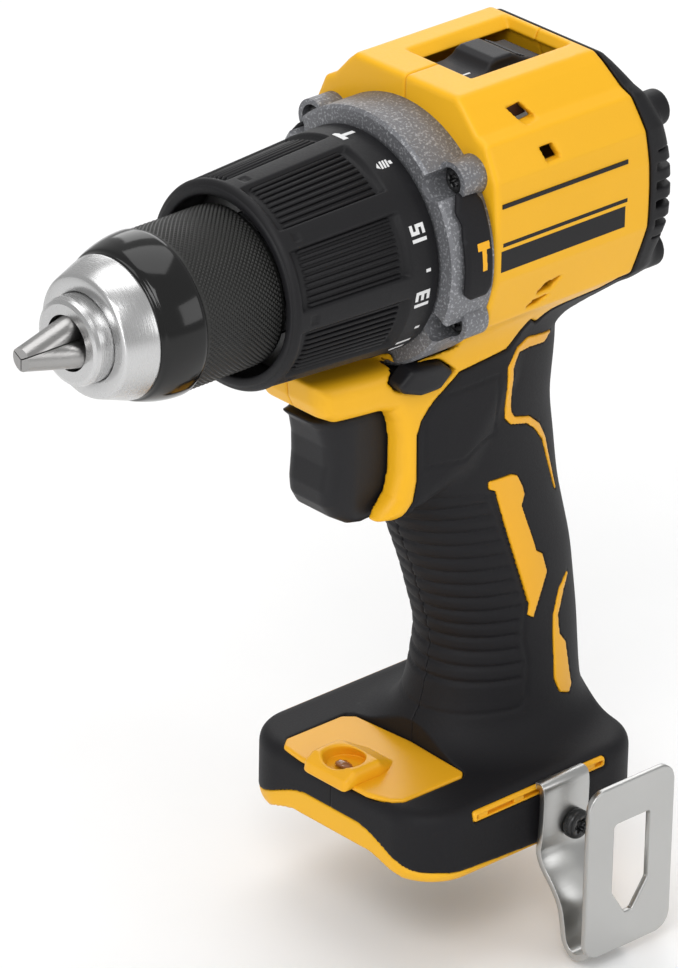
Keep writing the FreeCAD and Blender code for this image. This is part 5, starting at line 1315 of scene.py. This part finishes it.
def build_stage():
    """The pale floor, soft lamps and the camera."""
    settings = bpy.context.scene.drill_stage
    pale = finish("floor paint", tuple(settings.floor_colour), 0.7, grain=60, bump=0.02,
                  vary=0.012)
    size = 6000
    floor = piece("floor", [(-size, -size, -191.5), (size, -size, -191.5),
                            (size, size, -191.5), (-size, size, -191.5)], [(0, 1, 2, 3)], pale)
    aim = (0.08, 0.0, -0.05)
    lamp("key", "AREA", (-0.75, -0.65, 1.0), aim, 8.0, (0.7, 0.7))
    lamp("front", "AREA", (-1.15, -0.35, 0.12), aim, 3.2, (0.35, 0.9))
    lamp("side", "AREA", (0.55, -1.2, 0.35), aim, 2.2, (0.6, 0.6))
    lamp("top", "AREA", (0.25, 0.2, 1.1), aim, 5.0, (0.9, 0.9))
    lamp("back", "AREA", (0.9, 0.9, 0.5), aim, 3.5, (0.8, 0.8))
    world = bpy.data.worlds.new("studio")
    world.use_nodes = True
    world.node_tree.nodes["Background"].inputs["Color"].default_value = (1, 1, 1, 1)
    world.node_tree.nodes["Background"].inputs["Strength"].default_value = 0.55
    bpy.context.scene.world = world
    data = bpy.data.cameras.new("camera")
    data.lens = settings.focal
    data.sensor_width = 36
    data.clip_end = 20
    camera = bpy.data.objects.new("camera", data)
    bpy.context.scene.collection.objects.link(camera)
    roll = math.radians(1.11)
    right, up = Vector((0.7335, -0.6797, 0)), Vector((0.3040, 0.3281, 0.8944))
    back = Vector((-0.6079, -0.6560, 0.4473))
    side = math.cos(roll) * right + math.sin(roll) * up
    rise = -math.sin(roll) * right + math.cos(roll) * up
    pose = Matrix((side, rise, back)).transposed().to_4x4()
    pose.translation = Vector((-953.3, -1122.8, 700.8)) * MM
    camera.matrix_world = pose
    bpy.context.scene.camera = camera
    bpy.context.scene.view_settings.view_transform = "Standard"


# ------------------------------------------------------------------ operators
class DRILL_OT_finishes(bpy.types.Operator):
    """Makes every finish and paints the measured pieces."""
    bl_idname = "drill.finishes"
    bl_label = "Finishes"

    def execute(self, context):
        FINISH.update(make_finishes())
        paint_frame()
        return {"FINISHED"}


class DRILL_OT_chuck(bpy.types.Operator):
    """Builds the nose cone, the gloss band and the knurled sleeve."""
    bl_idname = "drill.chuck"
    bl_label = "Chuck"

    def execute(self, context):
        build_chuck()
        build_knurl()
        return {"FINISHED"}


class DRILL_OT_collar(bpy.types.Operator):
    """Builds the torque collar with its ribs and printed numbers."""
    bl_idname = "drill.collar"
    bl_label = "Torque collar"

    def execute(self, context):
        build_collar()
        return {"FINISHED"}


class DRILL_OT_gear_case(bpy.types.Operator):
    """Builds the gear case's screws and side pads."""
    bl_idname = "drill.gear_case"
    bl_label = "Gear case"

    def execute(self, context):
        build_gear_case()
        return {"FINISHED"}


class DRILL_OT_body(bpy.types.Operator):
    """Builds the two yellow halves, their stripes and vents."""
    bl_idname = "drill.body"
    bl_label = "Body"

    def execute(self, context):
        build_body()
        build_half_screws()
        return {"FINISHED"}


class DRILL_OT_grip(bpy.types.Operator):
    """Builds the soft grip and its inlays."""
    bl_idname = "drill.grip"
    bl_label = "Grip"

    def execute(self, context):
        build_grip()
        return {"FINISHED"}


class DRILL_OT_foot(bpy.types.Operator):
    """Builds the foot's rim, panel, lamp hood and side slots."""
    bl_idname = "drill.foot"
    bl_label = "Foot"

    def execute(self, context):
        build_foot()
        return {"FINISHED"}


class DRILL_OT_controls(bpy.types.Operator):
    """Builds the trigger, the direction button and the speed selector."""
    bl_idname = "drill.controls"
    bl_label = "Controls"

    def execute(self, context):
        build_controls()
        return {"FINISHED"}


class DRILL_OT_rear_cover(bpy.types.Operator):
    """Builds the vented rear cover and its screws."""
    bl_idname = "drill.rear_cover"
    bl_label = "Rear cover"

    def execute(self, context):
        build_rear_cover()
        return {"FINISHED"}


class DRILL_OT_belt_hook(bpy.types.Operator):
    """Builds the steel belt hook."""
    bl_idname = "drill.belt_hook"
    bl_label = "Belt hook"

    def execute(self, context):
        build_hook()
        return {"FINISHED"}


class DRILL_OT_stage(bpy.types.Operator):
    """Sets the floor, lamps and camera."""
    bl_idname = "drill.stage"
    bl_label = "Stage"

    def execute(self, context):
        build_stage()
        return {"FINISHED"}


STEPS = ["finishes", "chuck", "collar", "gear_case", "body", "grip", "foot", "controls",
         "rear_cover", "belt_hook", "stage"]


class DRILL_PT_pieces(bpy.types.Panel):
    """Lists the drill's operators and settings."""
    bl_idname = "DRILL_PT_pieces"
    bl_label = "Cordless drill"
    bl_space_type = "VIEW_3D"
    bl_region_type = "UI"
    bl_category = "Drill"

    def draw(self, context):
        for name in STEPS:
            self.layout.operator("drill." + name)
        for group in GROUPS:
            settings = getattr(context.scene, group)
            column = self.layout.column(heading=group)
            for key in settings.__annotations__:
                column.prop(settings, key)


GROUPS = {"drill_chuck": ChuckSizes, "drill_collar": CollarSizes, "drill_grip": GripSizes,
          "drill_colours": Colours, "drill_stage": StageSettings}
CLASSES = [*GROUPS.values(), DRILL_OT_finishes, DRILL_OT_chuck, DRILL_OT_collar,
           DRILL_OT_gear_case, DRILL_OT_body, DRILL_OT_grip, DRILL_OT_foot, DRILL_OT_controls,
           DRILL_OT_rear_cover, DRILL_OT_belt_hook, DRILL_OT_stage, DRILL_PT_pieces]


def register():
    """Registers the classes and the settings on the scene."""
    for kind in CLASSES:
        bpy.utils.register_class(kind)
    for name, kind in GROUPS.items():
        setattr(bpy.types.Scene, name, bpy.props.PointerProperty(type=kind))


def unregister():
    """Removes the settings and the classes."""
    for name in GROUPS:
        delattr(bpy.types.Scene, name)
    for kind in reversed(CLASSES):
        bpy.utils.unregister_class(kind)


def main():
    """Builds everything in order."""
    register()
    for name in STEPS:
        getattr(bpy.ops.drill, name)()


if __name__ == "__main__":
    main()
